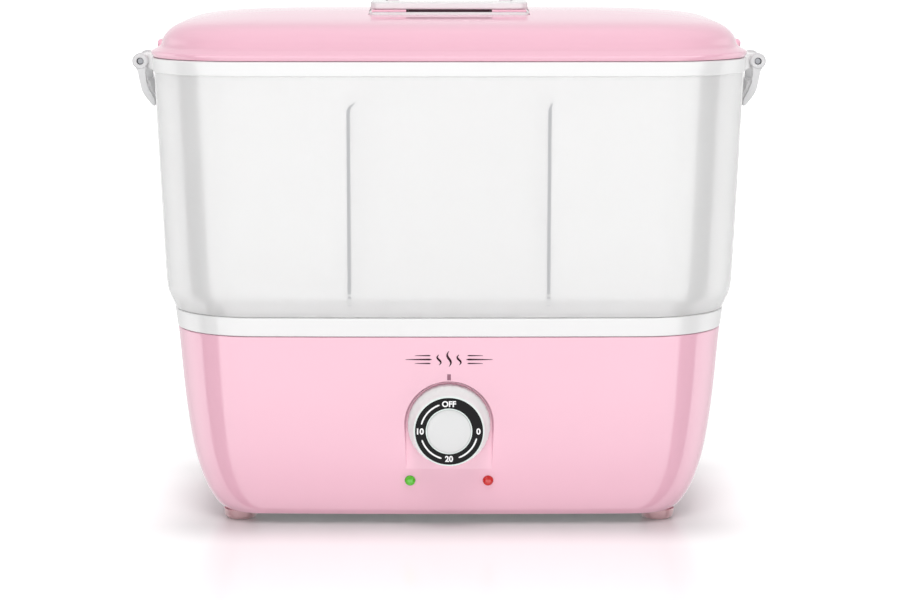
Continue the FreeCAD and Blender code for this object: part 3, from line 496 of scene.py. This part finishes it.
def strips_bm(strips, stack, proud, sunk, sides=(1,)):
    """Thin raised strips on a front (side 1) or back (-1) face; each is a list of (x, z, half width)."""
    bm = bmesh.new()
    for strip in [(s, side) for s in strips for side in sides]:
        points, face = strip
        rows = []
        for i, (x, z, half) in enumerate(points):
            before = points[max(i - 1, 0)]
            after = points[min(i + 1, len(points) - 1)]
            way = Vector((after[0] - before[0], after[1] - before[1])).normalized()
            side = Vector((-way.y, way.x)) * half
            row = []
            for px, pz in ((x - side.x, z - side.y), (x + side.x, z + side.y)):
                y = wall_y(stack, px, pz)
                row.append(bm.verts.new((px, face * (y - proud), pz)))
                row.append(bm.verts.new((px, face * (y + sunk), pz)))
            rows.append(row)
        skin_rows(bm, rows)
    return bm


def make_print():
    strips = []
    for x, low, high, width in ((-5.2, 89.7, 95.3, 0.46), (0.0, 88.9, 97.2, 0.55), (5.2, 89.7, 95.3, 0.46)):
        wisp = []
        for i in range(33):
            t = i / 32
            wisp.append((x + 0.95 * math.sin(2 * math.pi * t), low + t * (high - low),
                         0.07 + width * math.sin(math.pi * t)))
        strips.append(wisp)
    for side in (-1, 1):
        for z, start, end, width in ((92.7, 9.0, 22.6, 0.4), (90.6, 9.6, 17.6, 0.26), (94.8, 9.6, 17.6, 0.26)):
            rule = [(side * (start + (end - start) * i / 12), z,
                     0.06 + width * (1 - i / 12) ** 0.7 * min(1, (i + 0.2) / 1.2))
                    for i in range(13)]
            strips.append(rule)
    face = smooth(BASE, 64)
    placed(finished(strips_bm(strips, face, 0.12, 0.05), "steam_ornament"), "base", "ink", INK, "badge")
    bars = [[(x, 81.6, 0.36), (x, 81.8, 0.44), (x, 84.6, 0.44), (x, 84.8, 0.36)] for x in (-0.48, 0.48)]
    placed(finished(strips_bm(bars, face, 0.12, 0.05), "index_bars"), "base", "ink", MARK, "index_mark")


def make_feet():
    profile = [(0, 0), (6.6, 0), (7.4, 0.15), (8.0, 0.6), (8.5, 1.4), (8.85, 2.8), (9.0, 4.4), (9.0, 5.3),
               (8.6, 5.5), (0, 5.5)]
    soles = [lathe_bm(profile, (x, y, 0), (0, 0, 1), 48) for x in (-112, 112) for y in (-48, 48)]
    placed(finished(joined(soles), "rubber_feet"), "base", "foot_rubber", FOOT, "feet")


def make_lamps():
    for side, name, node, finish in ((-1, "green_lens", "lamp_green", GREEN), (1, "red_lens", "lamp_red", RED)):
        profile = [(0, 70.9), (2.75, 70.9), (2.75, 77.0)]
        profile += [(2.75 * math.cos(math.radians(a)), 77.0 + 2.5 * math.sin(math.radians(a)))
                    for a in range(9, 90, 9)]
        profile.append((0, 79.5))
        made = lathe_bm(profile, (side * LAMP_X, 0, LAMP_Z), (0, -1, 0), 40)
        placed(finished(made, name, 50.0), "base", "lens_green" if side < 0 else "lens_red", finish, node)


def make_gland():
    profile = [(3.3, 68.4), (7.2, 68.4), (7.4, 68.6), (7.4, 71.2), (5.95, 72.2), (5.95, 80.2), (7.8, 80.2),
               (8.0, 80.4), (8.0, 81.4), (7.8, 81.6), (5.6, 82.6)]
    for i in range(3):
        y = 84.0 + 3.5 * i
        profile += [(5.5 - 0.15 * i, y), (4.5, y + 0.15), (4.5, y + 1.15), (5.45 - 0.15 * i, y + 1.3)]
    profile += [(5.0, 95.6), (4.7, 96.0), (3.5, 96.0), (3.3, 95.8)]
    made = lathe_bm(profile, (GLAND_X, 0, GLAND_Z), (0, 1, 0), 40)
    placed(finished(made, "strain_relief"), "base", "black_rubber", BLACK_RUBBER, "cord_gland")


# ---------------------------------------------------------------- timer knob
def make_knob():
    def fluted(radius, d, angle):
        if radius < 19.0 or d > 89.0:
            return radius
        depth = 0.16 * max(0.0, min(1.0, (89.0 - d) / 6.0))
        return radius - depth * (0.5 + 0.5 * math.cos(30 * angle)) ** 5

    profile = [(3.02, 79.2), (20.9, 78.9), (21.3, 79.0), (21.55, 79.3), (21.6, 79.8), (21.55, 81.0), (21.3, 82.6),
               (20.8, 84.4), (20.2, 86.2), (19.7, 88.0), (19.3, 89.8), (19.0, 91.6), (18.8, 93.4), (18.65, 95.2),
               (18.5, 95.9), (18.2, 96.5), (17.9, 96.75), (17.7, 96.8), (17.6, 96.7), (17.6, 96.2), (12.0, 96.2),
               (12.0, 96.75), (11.92, 96.8), (11.55, 96.8), (11.5, 96.7), (11.5, 95.8), (3.02, 95.8)]
    made = lathe_bm(profile, (0, 0, KNOB_Z), (0, -1, 0), 240, fluted)
    placed(finished(made, "knob_skirt", 50.0), "knob", "knob_plastic", KNOB, "timer_knob")
    ring = [(12.05, 96.2), (17.55, 96.2), (17.55, 96.66), (17.5, 96.7), (12.1, 96.7), (12.05, 96.66)]
    face = lathe_bm(ring, (0, 0, KNOB_Z), (0, -1, 0), 128)
    placed(finished(face, "dial_face"), "knob", "dial_black", DIAL, "dial_ring")
    cap = [(0, 95.8), (11.45, 95.8), (11.45, 96.9), (11.35, 97.2), (11.1, 97.45), (10.4, 97.75), (8.6, 98.15),
           (6.0, 98.4), (3.0, 98.56), (0, 98.6)]
    placed(finished(lathe_bm(cap, (0, 0, KNOB_Z), (0, -1, 0), 96), "centre_cap"), "knob", "cap_grey", CAP, "knob_cap")


def text_bm(body, height, centre):
    """Upright lettering facing the front, centred on (x, z)."""
    curve = bpy.data.curves.new("lettering", "FONT")
    curve.body = body
    curve.size = height / 0.7
    curve.align_x = "CENTER"
    curve.offset = 0.15
    curve.extrude = 0.05
    thing = bpy.data.objects.new("lettering", curve)
    bpy.context.scene.collection.objects.link(thing)
    bpy.context.view_layer.update()
    mesh = bpy.data.meshes.new_from_object(thing)
    bm = bmesh.new()
    bm.from_mesh(mesh)
    bpy.data.objects.remove(thing)
    bpy.data.curves.remove(curve)
    bpy.data.meshes.remove(mesh)
    low = [min(v.co[i] for v in bm.verts) for i in range(2)]
    high = [max(v.co[i] for v in bm.verts) for i in range(2)]
    for v in bm.verts:
        x = v.co.x - (low[0] + high[0]) / 2 + centre[0]
        z = v.co.y - (low[1] + high[1]) / 2 + centre[1]
        v.co = Vector((x, -96.76 - v.co.z, z))
    return bm


def arc_bar(radius, start, end, half, steps=24):
    """Printed arc between two angles, degrees counter-clockwise from the top as seen from the front."""
    bm = bmesh.new()
    rows = []
    for i in range(steps + 1):
        a = math.radians(start + (end - start) * i / steps)
        near_end = min(i, steps - i)
        w = half * (0.55 if near_end == 0 else 0.9 if near_end == 1 else 1.0)
        row = []
        for r in (radius - w, radius + w):
            for y in (-96.81, -96.68):
                row.append(bm.verts.new((-r * math.sin(a), y, KNOB_Z + r * math.cos(a))))
        rows.append(row)
    skin_rows(bm, rows)
    return bm


def make_marks():
    marks = [text_bm("OFF", 2.9, (0.0, KNOB_Z + 14.4)), text_bm("10", 3.0, (-14.8, KNOB_Z)),
             text_bm("20", 2.9, (0.0, KNOB_Z - 14.5)), text_bm("0", 3.0, (15.2, KNOB_Z))]
    marks += [arc_bar(14.7, start, end, 0.42) for start, end in ((19.5, 75.7), (108.0, 164.7), (199.9, 255.5))]
    made = finished(joined(marks), "dial_marks")
    placed(made, "knob", "white_plastic", PRINT_WHITE)


# ---------------------------------------------------------------- tank
def tank_wall():
    outer = [(114.9, 145.3, 87.1, 45.1), (114.95, 145.8, 87.6, 45.6), (115.2, 146.2, 88.0, 45.9)]
    outer += smooth(TANK, 60)[1:]
    inner = [(117.4, 143.6, 85.4, 42.9), (117.6, 144.4, 86.2, 43.6), (118.4, 145.1, 86.9, 44.3)]
    inner += [(z, x - 2.4, y - 2.4, r - 2.4) for z, x, y, r in smooth(TANK, 60) if z > 119.5]
    rings = outer + [(244.0, 154.2, 93.2, 48.5), (244.4, 153.9, 92.9, 48.2), (244.4, 153.0, 92.0, 47.3),
                     (244.0, 152.7, 91.7, 47.0)] + inner[::-1]
    return stack_bm(rings, False)


def make_tank():
    shell = tank_wall()
    spigot = [(0.0, 115.2), (0.0, 109.0), (-0.8, 108.2), (-1.8, 108.2), (-2.4, 108.8), (-2.4, 115.2)]
    shell = combined(shell, ring_bm((139.0, 80.8, 39.0), spigot), "UNION")
    slots = []
    for x in (-120.0, -102.0, -84.0, -66.0, -33.0, -16.5, 0.0, 16.5, 33.0, 66.0, 84.0, 102.0, 120.0):
        for y in (-46.0, 0.0, 46.0):
            end = abs(x) > 119 and y != 0
            reach = 10.0 if end else 17.0
            middle = math.copysign(39.0, y) if end else y
            corners = [(x - 3, middle - reach), (x + 3, middle - reach),
                       (x + 3, middle + reach), (x - 3, middle + reach)]
            slots.append(prism_bm(rounded_loop(corners, [2.9] * 4, 6), "z", 113.0, 119.0))
    shell = combined(shell, joined(slots), "DIFFERENCE")
    placed(finished(shell, "frosted_tank"), "tank", "clear_tank", CLEAR, "tank")
    ribs = []
    for x in (-DIVIDER_X, DIVIDER_X):
        for side in (-1, 1):
            for y in (-1, 1):
                rib_x = x + side * 2.3
                points = [(y * 82.8, 117.5), (y * 86.0, 117.5), (y * 89.3, 124.0),
                          (y * 90.6, 150.0), (y * 90.0, 152.0), (y * 83.6, 146.0)]
                rib = prism_bm(points, "x", rib_x - 0.75, rib_x + 0.75)
                ribs.append(turned_edges(rib, 0.3, flat_across(0)))
    placed(finished(joined(ribs), "divider_guides"), "tank", "clear_tank", CLEAR)
    # Grey strips laid on the tank wall, front and back, are painted shade for the divider edges seen through the
    # frosted wall.
    lines = []
    for x, hook in ((-DIVIDER_X, 3.4), (DIVIDER_X, 1.4)):
        line = [(x, 121.5 + 100.5 * i / 24, 0.9) for i in range(25)]
        line += [(x + hook * t ** 2, 222.0 + 4.0 * t, 0.9 - 0.62 * t) for t in (0.25, 0.5, 0.7, 0.85, 1.0)]
        lines.append(line)
    marks = strips_bm(lines, smooth(TANK, 60), 0.04, 0.5, (1, -1))
    placed(finished(marks, "divider_shade_lines"), "tank", "clear_tank", DIVIDER_SHADE_LINE)


def make_dividers():
    for side, name in ((-1, "divider_left"), (1, "divider_right")):
        x = side * DIVIDER_X
        points = [(-85.6, 117.9), (85.6, 117.9), (85.6, 226.0), (13.5, 226.0)]
        scoop = [(12.6 * math.cos(math.radians(a)), 226.0 - 12.6 * math.sin(math.radians(a)))
                 for a in range(10, 180, 10)]
        points = points + scoop + [(-13.5, 226.0), (-85.6, 226.0)]
        radii = [2.0, 2.0, 7.0, 1.0] + [0] * len(scoop) + [1.0, 7.0]
        plate = prism_bm(rounded_loop(points, radii, 6), "x", x - 1.1, x + 1.1)
        plate = turned_edges(plate, 0.45, flat_across(0))
        placed(finished(plate, name + "_panel"), name, "divider_plastic", DIVIDER, name)


def latch_rod(radius, side, reach, steps=32, edge=0.0):
    """Rod on a latch's pivot, reaching as far to the front as to the back."""
    x = side * LATCH_X
    return rod_bm(radius, (x, -reach, LATCH_Z), (x, reach, LATCH_Z), steps, edge)


def make_rim():
    loop = [(0.0, 247.1), (-6.1, 247.1), (-5.8, 239.5), (-0.5, 239.5)]
    profile = rounded_loop(loop, [0.9, 0.5, 0.5, 0.9])
    ring = ring_bm((156.1, 95.1, 50.1), profile)
    for side in (-1, 1):
        points = [(154.9, 246.2), (165.6, 246.2), (168.4, 244.8), (169.0, 242.6), (168.2, 240.4), (165.6, 239.4),
                  (163.0, 239.2), (155.6, 235.4), (155.0, 235.6)]
        radii = [0, 1.4, 1.4, 1.4, 1.4, 1.2, 1.5, 0, 0]
        lug = prism_bm(rounded_loop([(side * x, z) for x, z in points], radii, 5), "y", -12.6, 12.6)
        lug = turned_edges(lug, 0.5, flat_across(1))
        ring = combined(ring, lug, "UNION")
        ring = combined(ring, latch_rod(1.9, side, 20), "DIFFERENCE")
    placed(finished(ring, "rim_band"), "tank", "white_plastic", WHITE, "tank_rim")
    pins = [latch_rod(1.82, side, 16.6, 32, 0.35) for side in (-1, 1)]
    placed(finished(joined(pins), "pivot_pins"), "tank", "steel", PIN_STEEL_SHADED, "latch_pins")


def latch_loop(side, points, radii):
    """Rounded outline from points measured from the pivot, inwards and upwards."""
    return rounded_loop([(side * (LATCH_X - u), LATCH_Z + w) for u, w in points], radii, 5)


def make_latches():
    arm = [(-3.2, -2.2), (-1.5, -5.4), (-0.5, -11.0), (0.7, -16.1), (3.0, -19.8), (6.2, -23.7), (7.5, -24.1),
           (7.9, -22.9), (7.7, -20.8), (4.7, -15.4), (3.3, -11.4), (2.7, -5.4), (3.4, -2.0)]
    web = [(-0.45, -10.6), (0.7, -16.1), (3.0, -19.8), (6.2, -23.7), (7.4, -24.1), (8.1, -23.0), (8.1, -20.0),
           (6.0, -15.0), (4.6, -10.6)]
    for side, name in ((-1, "latch_left"), (1, "latch_right")):
        x = side * LATCH_X
        whole = None
        for y0, y1 in ((-18.0, -13.0), (13.0, 18.0)):
            inset = 0.4 if y0 < 0 else -0.4
            bar = prism_bm(latch_loop(side, arm, [1.0, 3, 6, 5, 5, 0.6, 0.8, 0.8, 4, 6, 6, 3, 1.0]), "y",
                           y0 + max(inset, 0.2), y1 + min(inset, -0.2))
            bar = turned_edges(bar, 0.4, flat_across(1))
            bar = combined(bar, rod_bm(4.3, (x, y0, LATCH_Z), (x, y1, LATCH_Z), 48, 0.6), "UNION")
            whole = bar if whole is None else joined([whole, bar])
        plate = prism_bm(latch_loop(side, web, [0.5, 5, 5, 0.6, 0.8, 0.8, 4, 6, 0.8]), "y", -14.3, 14.3)
        plate = combined(plate, latch_rod(11.0, side, 20, 64), "DIFFERENCE")
        cut = combined(latch_rod(17.7, side, 12, 96),
                       box_bm(*corners_between(x + side * 25, x - side * 2.6, -13, 13, 200, 242)), "INTERSECT")
        plate = combined(plate, cut, "DIFFERENCE")
        whole = combined(whole, plate, "UNION")
        whole = combined(whole, latch_rod(1.92, side, 20), "DIFFERENCE")
        placed(finished(whole, "swing_" + name, 38.0), name, "white_plastic", LATCH_WHITE_SHADED, name)


def corners_between(x0, x1, y0, y1, z0, z1):
    return (min(x0, x1), y0, z0), (max(x0, x1), y1, z1)


# ---------------------------------------------------------------- lid and handle
def make_lid():
    rings = [(243.6, 148.0, 87.0, 42.6), (243.9, 148.4, 87.4, 43.0), (246.9, 148.4, 87.4, 43.0),
             (246.9, 149.4, 88.4, 44.0), (247.3, 149.4, 88.4, 44.0), (247.3, 154.9, 93.9, 48.9),
             (247.45, 155.3, 94.3, 49.3), (248.2, 155.75, 94.75, 49.75), (248.9, 156.2, 95.2, 50.2),
             (249.5, 156.4, 95.4, 50.4), (249.9, 156.35, 95.35, 50.35), (250.3, 156.2, 95.2, 50.2),
             (250.6, 155.9, 94.9, 49.9), (250.85, 155.3, 94.3, 49.3), (251.6, 153.9, 92.9, 48.2),
             (252.6, 152.1, 91.1, 46.8), (253.15, 151.4, 90.4, 46.3)]
    rings += smooth(DOME, 56)[1:]
    shell = combined(stack_bm(rings, False), box_bm((-42.3, -44.3, 268.6), (42.3, 26.3, 280)), "DIFFERENCE")
    under = [(z - 2.5, x - 2.5, y - 2.5, r - 2.5) for z, x, y, r in smooth(DOME, 20)]
    rings = [(243.0, 146.2, 85.2, 41.2), (250.3, 146.2, 85.2, 41.2)] + [s for s in under[1:] if s[0] > 251.5]
    hollow = stack_bm(rings, False)
    for low, high in (((-46, -48, 266.0), (46, 30, 290)), ((-24.9, -44, 258.6), (24.9, 7.4, 290))):
        hollow = combined(hollow, box_bm(low, high), "DIFFERENCE")
    shell = combined(shell, hollow, "DIFFERENCE")
    for side in (-1, 1):
        points = [(149.6, 250.2), (156.9, 250.2), (157.0, 253.0), (155.9, 254.2), (149.6, 254.2)]
        block = prism_bm(rounded_loop([(side * x, z) for x, z in points], [0, 0.3, 0.8, 0.8, 0], 4), "y", -10.5, 10.5)
        block = turned_edges(block, 0.5, flat_across(1))
        block = combined(block, box_bm(*corners_between(side * 155.4, side * 158, -9, 9, 250.7, 251.9)), "DIFFERENCE")
        shell = combined(shell, block, "UNION")
    step = combined(box_bm((-39.4, -41.9, 268.4), (39.4, 21.9, 271.2), 0.3, 2),
                    box_bm((-40.6, -43.5, 270.05), (40.6, -41.0, 271.35), 0.25, 2), "UNION")
    shell = combined(shell, step, "UNION")
    shell = combined(shell, box_bm((-22.5, -41.4, 261.0), (22.5, 5.0, 280)), "DIFFERENCE")
    shell = combined(shell, box_bm((-22.5, -46.0, 270.0), (22.5, -41.0, 280)), "DIFFERENCE")
    placed(finished(shell, "domed_lid"), "lid", "pink_plastic", PINK, "lid")


def make_painted_well_shadow():
    """Dark sheet in the finger well under the handle: painted shadow for the shade in the well."""
    outer = box_bm((-22.4, -41.3, 261.05), (22.4, 4.9, 271.1))
    inner = box_bm((-21.9, -45.0, 261.5), (21.9, 4.5, 275.0))
    lower = box_bm((-30.0, -45.0, 240.0), (30.0, -40.8, 270.05))
    shadow_sheet = combined(outer, combined(inner, lower, "DIFFERENCE"), "DIFFERENCE")
    placed(finished(shadow_sheet, "painted_well_shadow"), "lid", "pink_plastic", WELL)


def make_handle_parts():
    lugs = []
    for side in (-1, 1):
        points = [(12.1, 271.2), (15.9, 271.2), (15.9, 273.4), (15.35, 274.75), (14.0, 275.3),
                  (12.65, 274.75), (12.1, 273.4)]
        low, high = sorted((side * 27.0, side * 33.6))
        lug = prism_bm(rounded_loop(points, [0, 0, 0.8, 0.8, 0.8, 0.8, 0.8], 4), "x", low, high)
        lugs.append(turned_edges(lug, 0.3, flat_across(0)))
    placed(finished(joined(lugs), "handle_brackets"), "lid", "white_plastic", WHITE)
    outer = rounded_loop([(-42.1, -44), (42.1, -44), (42.1, 26), (-42.1, 26)], [4.0] * 4, 6)
    inner = rounded_loop([(-39.6, -42.1), (39.6, -42.1), (39.6, 22.1), (-39.6, 22.1)], [0.4] * 4, 2)
    frame_bm = turned_edges(prism_bm(outer, "z", 268.62, 270.0), 0.35,
                            lambda e: e.verts[0].co.z > 269.9 and e.verts[1].co.z > 269.9)
    frame_bm = combined(frame_bm, prism_bm(inner, "z", 268.0, 271.0), "DIFFERENCE")
    placed(finished(frame_bm, "seat_bezel"), "lid", "white_plastic", WHITE, "handle_bezel")


def make_handle():
    points = [(-41.4, 14), (-41.4, -44), (41.4, -44), (41.4, 14), (34, 14), (34, -28), (-34, -28), (-34, 14)]
    loop = rounded_loop(points, [0, 7.0, 7.0, 0, 0, 2.5, 2.5, 0], 8)
    bar = turned_edges(prism_bm(loop, "z", 271.5, 275.3), 0.9, flat_across(2), 4)
    for side in (-1, 1):
        low, high = sorted((side * 34.0, side * 41.4))
        bar = combined(bar, rod_bm(1.9, (low, HINGE_Y, HINGE_Z), (high, HINGE_Y, HINGE_Z), 40, 0.3), "UNION")
    bar = combined(bar, rod_bm(1.58, (-60, HINGE_Y, HINGE_Z), (60, HINGE_Y, HINGE_Z)), "DIFFERENCE")
    placed(finished(bar, "carry_handle", 38.0), "handle", "white_plastic", WHITE, "handle")


make_base()
make_collar()
make_print()
make_feet()
make_lamps()
make_gland()
make_knob()
make_marks()
make_tank()
make_dividers()
make_rim()
make_latches()
make_lid()
make_painted_well_shadow()
make_handle_parts()
make_handle()

# ---------------------------------------------------------------- finish for the CAD nodes that stay
KEPT = {
    "water_reservoir": PAN, "heating_plate": ALUMINIUM, "heater_seal": SILICONE, "clamp_ring": STEEL,
    "clamp_screws": STEEL, "heating_element": HOT_STEEL, "thermostat": STEEL, "thermal_fuse": BLOCK,
    "bottom_plate": WHITE, "bottom_screws": STEEL, "timer_bracket": STEEL, "timer_screws": STEEL,
    "timer_housing": STEEL, "timer_bell": STEEL, "timer_shaft": STEEL, "timer_wheel": BRASS, "lamp_board": BOARD,
    "terminal_block": BLOCK, "inner_wiring": WIRE, "lid_gasket": SILICONE, "handle_pins": STEEL,
}
for name, finish in KEPT.items():
    NODES[name].data.materials.clear()
    NODES[name].data.materials.append(finish)

# ---------------------------------------------------------------- room, light and camera
def make_floor():
    bm = bmesh.new()
    bmesh.ops.create_grid(bm, x_segments=2, y_segments=2, size=30000.0)
    floor = finished(bm, "floor")
    surface = plastic("floor_white", srgb(216, 216, 216), vary=0.004, roughness=0.18, spread=0.02, bump=0.0,
                      Emission_Color=(1.0, 1.0, 1.0, 1.0))
    tree = surface.node_tree
    spot = tree.nodes.new("ShaderNodeTexCoord").outputs["Object"]
    # Distance from the object's footprint, in metres.
    for operation, amounts in (("ABSOLUTE", None), ("SUBTRACT", SHADOW_FOOTPRINT), ("MAXIMUM", (0.0, 0.0, 0.0)),
                               ("LENGTH", None)):
        step = tree.nodes.new("ShaderNodeVectorMath")
        step.operation = operation
        tree.links.new(spot, step.inputs[0])
        if amounts:
            step.inputs[1].default_value = amounts
        spot = step.outputs["Value" if operation == "LENGTH" else "Vector"]

    def glow(start, end, high, low=0.0):
        made = tree.nodes.new("ShaderNodeMapRange")
        made.interpolation_type = "SMOOTHSTEP"
        for key, number in (("From Min", start), ("From Max", end), ("To Min", low), ("To Max", high)):
            made.inputs[key].default_value = number
        tree.links.new(spot, made.inputs["Value"])
        return made.outputs["Result"]

    # For camera rays the floor's glow is painted shadow: low at the object's footprint and rising away from it.
    near = tree.nodes.new("ShaderNodeMath")
    tree.links.new(glow(0.0, 0.052, 0.36, 0.03), near.inputs[0])
    tree.links.new(glow(0.04, 0.6, 0.48), near.inputs[1])
    path = tree.nodes.new("ShaderNodeLightPath")
    strength = tree.nodes.new("ShaderNodeMix")
    tree.links.new(path.outputs["Is Diffuse Ray"], strength.inputs[0])
    tree.links.new(near.outputs[0], strength.inputs[2])
    tree.links.new(glow(0.0, 0.03, FLOOR_BOUNCE), strength.inputs[3])
    tree.links.new(strength.outputs[0], tree.nodes["Principled BSDF"].inputs["Emission Strength"])
    clear = tree.nodes.new("ShaderNodeBsdfTransparent")
    either = tree.nodes.new("ShaderNodeMixShader")
    tree.links.new(path.outputs["Is Glossy Ray"], either.inputs[0])
    tree.links.new(tree.nodes["Principled BSDF"].outputs[0], either.inputs[1])
    tree.links.new(clear.outputs[0], either.inputs[2])
    tree.links.new(either.outputs[0], tree.nodes["Material Output"].inputs["Surface"])
    floor.data.materials.append(surface)


def area(name, at, aim, size, power, size_y=None):
    light = bpy.data.lights.new(name, "AREA")
    light.energy = power
    light.size = size
    if size_y:
        light.shape = "RECTANGLE"
        light.size_y = size_y
    made = bpy.data.objects.new(name, light)
    made.location = at
    made.rotation_euler = (Vector(aim) - Vector(at)).to_track_quat("-Z", "Y").to_euler()
    made.visible_glossy = False
    bpy.context.scene.collection.objects.link(made)
    return made


def make_light():
    """Even white surround, mirrored as a bright front, a dark gap at each side and softer panels beyond."""
    world = bpy.data.worlds.new("studio")
    bpy.context.scene.world = world
    world.use_nodes = True
    tree = world.node_tree

    def math_node(operation, *values):
        made = tree.nodes.new("ShaderNodeMath")
        made.operation = operation
        for i, value in enumerate(values):
            if isinstance(value, (int, float)):
                made.inputs[i].default_value = value
            else:
                tree.links.new(value, made.inputs[i])
        return made.outputs[0]

    def ramp(value, start, end, low, high):
        made = tree.nodes.new("ShaderNodeMapRange")
        made.interpolation_type = "SMOOTHSTEP"
        for key, number in zip(("From Min", "From Max", "To Min", "To Max"), (start, end, low, high)):
            made.inputs[key].default_value = number
        tree.links.new(value, made.inputs["Value"])
        return made.outputs["Result"]

    place = tree.nodes.new("ShaderNodeTexCoord")
    split = tree.nodes.new("ShaderNodeSeparateXYZ")
    tree.links.new(place.outputs["Generated"], split.inputs["Vector"])
    path = tree.nodes.new("ShaderNodeLightPath")
    sideways = math_node("ABSOLUTE", split.outputs["X"])
    forward = math_node("MULTIPLY", split.outputs["Y"], -1.0)
    turn = math_node("ARCTAN2", sideways, forward)
    front = ramp(turn, math.radians(57.0), math.radians(63.0), FRONT_MIRROR, 0.0)
    side = ramp(turn, math.radians(88.0), math.radians(93.0), 0.0, SIDE_MIRROR)
    back = ramp(turn, math.radians(105.0), math.radians(145.0), 0.0, BACK_MIRROR - SIDE_MIRROR)
    around = math_node("ADD", math_node("ADD", front, side), back)
    level = ramp(split.outputs["Z"], 0.15, 0.6, 0.0, 1.0)
    upper = math_node("ADD", math_node("MULTIPLY", around, math_node("SUBTRACT", 1.0, level)),
                      math_node("MULTIPLY", level, TOP_MIRROR))
    mirrored = math_node("MULTIPLY", upper, ramp(split.outputs["Z"], -0.72, -0.24, GROUND_MIRROR, 1.0))

    def choose(is_it, one, other):
        return math_node("ADD", math_node("MULTIPLY", is_it, one),
                         math_node("MULTIPLY", math_node("SUBTRACT", 1.0, is_it), other))

    seen = choose(path.outputs["Is Glossy Ray"], mirrored, FILL_LEVEL)
    tree.links.new(choose(path.outputs["Is Camera Ray"], 1.0, seen), tree.nodes["Background"].inputs["Strength"])
    tree.nodes["Background"].inputs["Color"].default_value = (1.0, 1.0, 1.0, 1.0)
    area("key", (0.0, -1.15, 1.65), (0, 0, 0.1), 0.8, 16.5)
    area("behind", (0.0, 0.9, 1.8), (0, 0, 0.1), 0.9, 10.0)


def make_camera():
    data = bpy.data.cameras.new("camera")
    data.lens = 100.0
    data.sensor_width = 36.0
    camera = bpy.data.objects.new("camera", data)
    camera.location = (0.0005, -1.361, 0.3255)
    camera.rotation_euler = (math.radians(90.0 - 8.98), 0.0, 0.0)
    bpy.context.scene.collection.objects.link(camera)
    bpy.context.scene.camera = camera


make_floor()
make_light()
make_camera()
bpy.context.scene.view_settings.view_transform = "Standard"
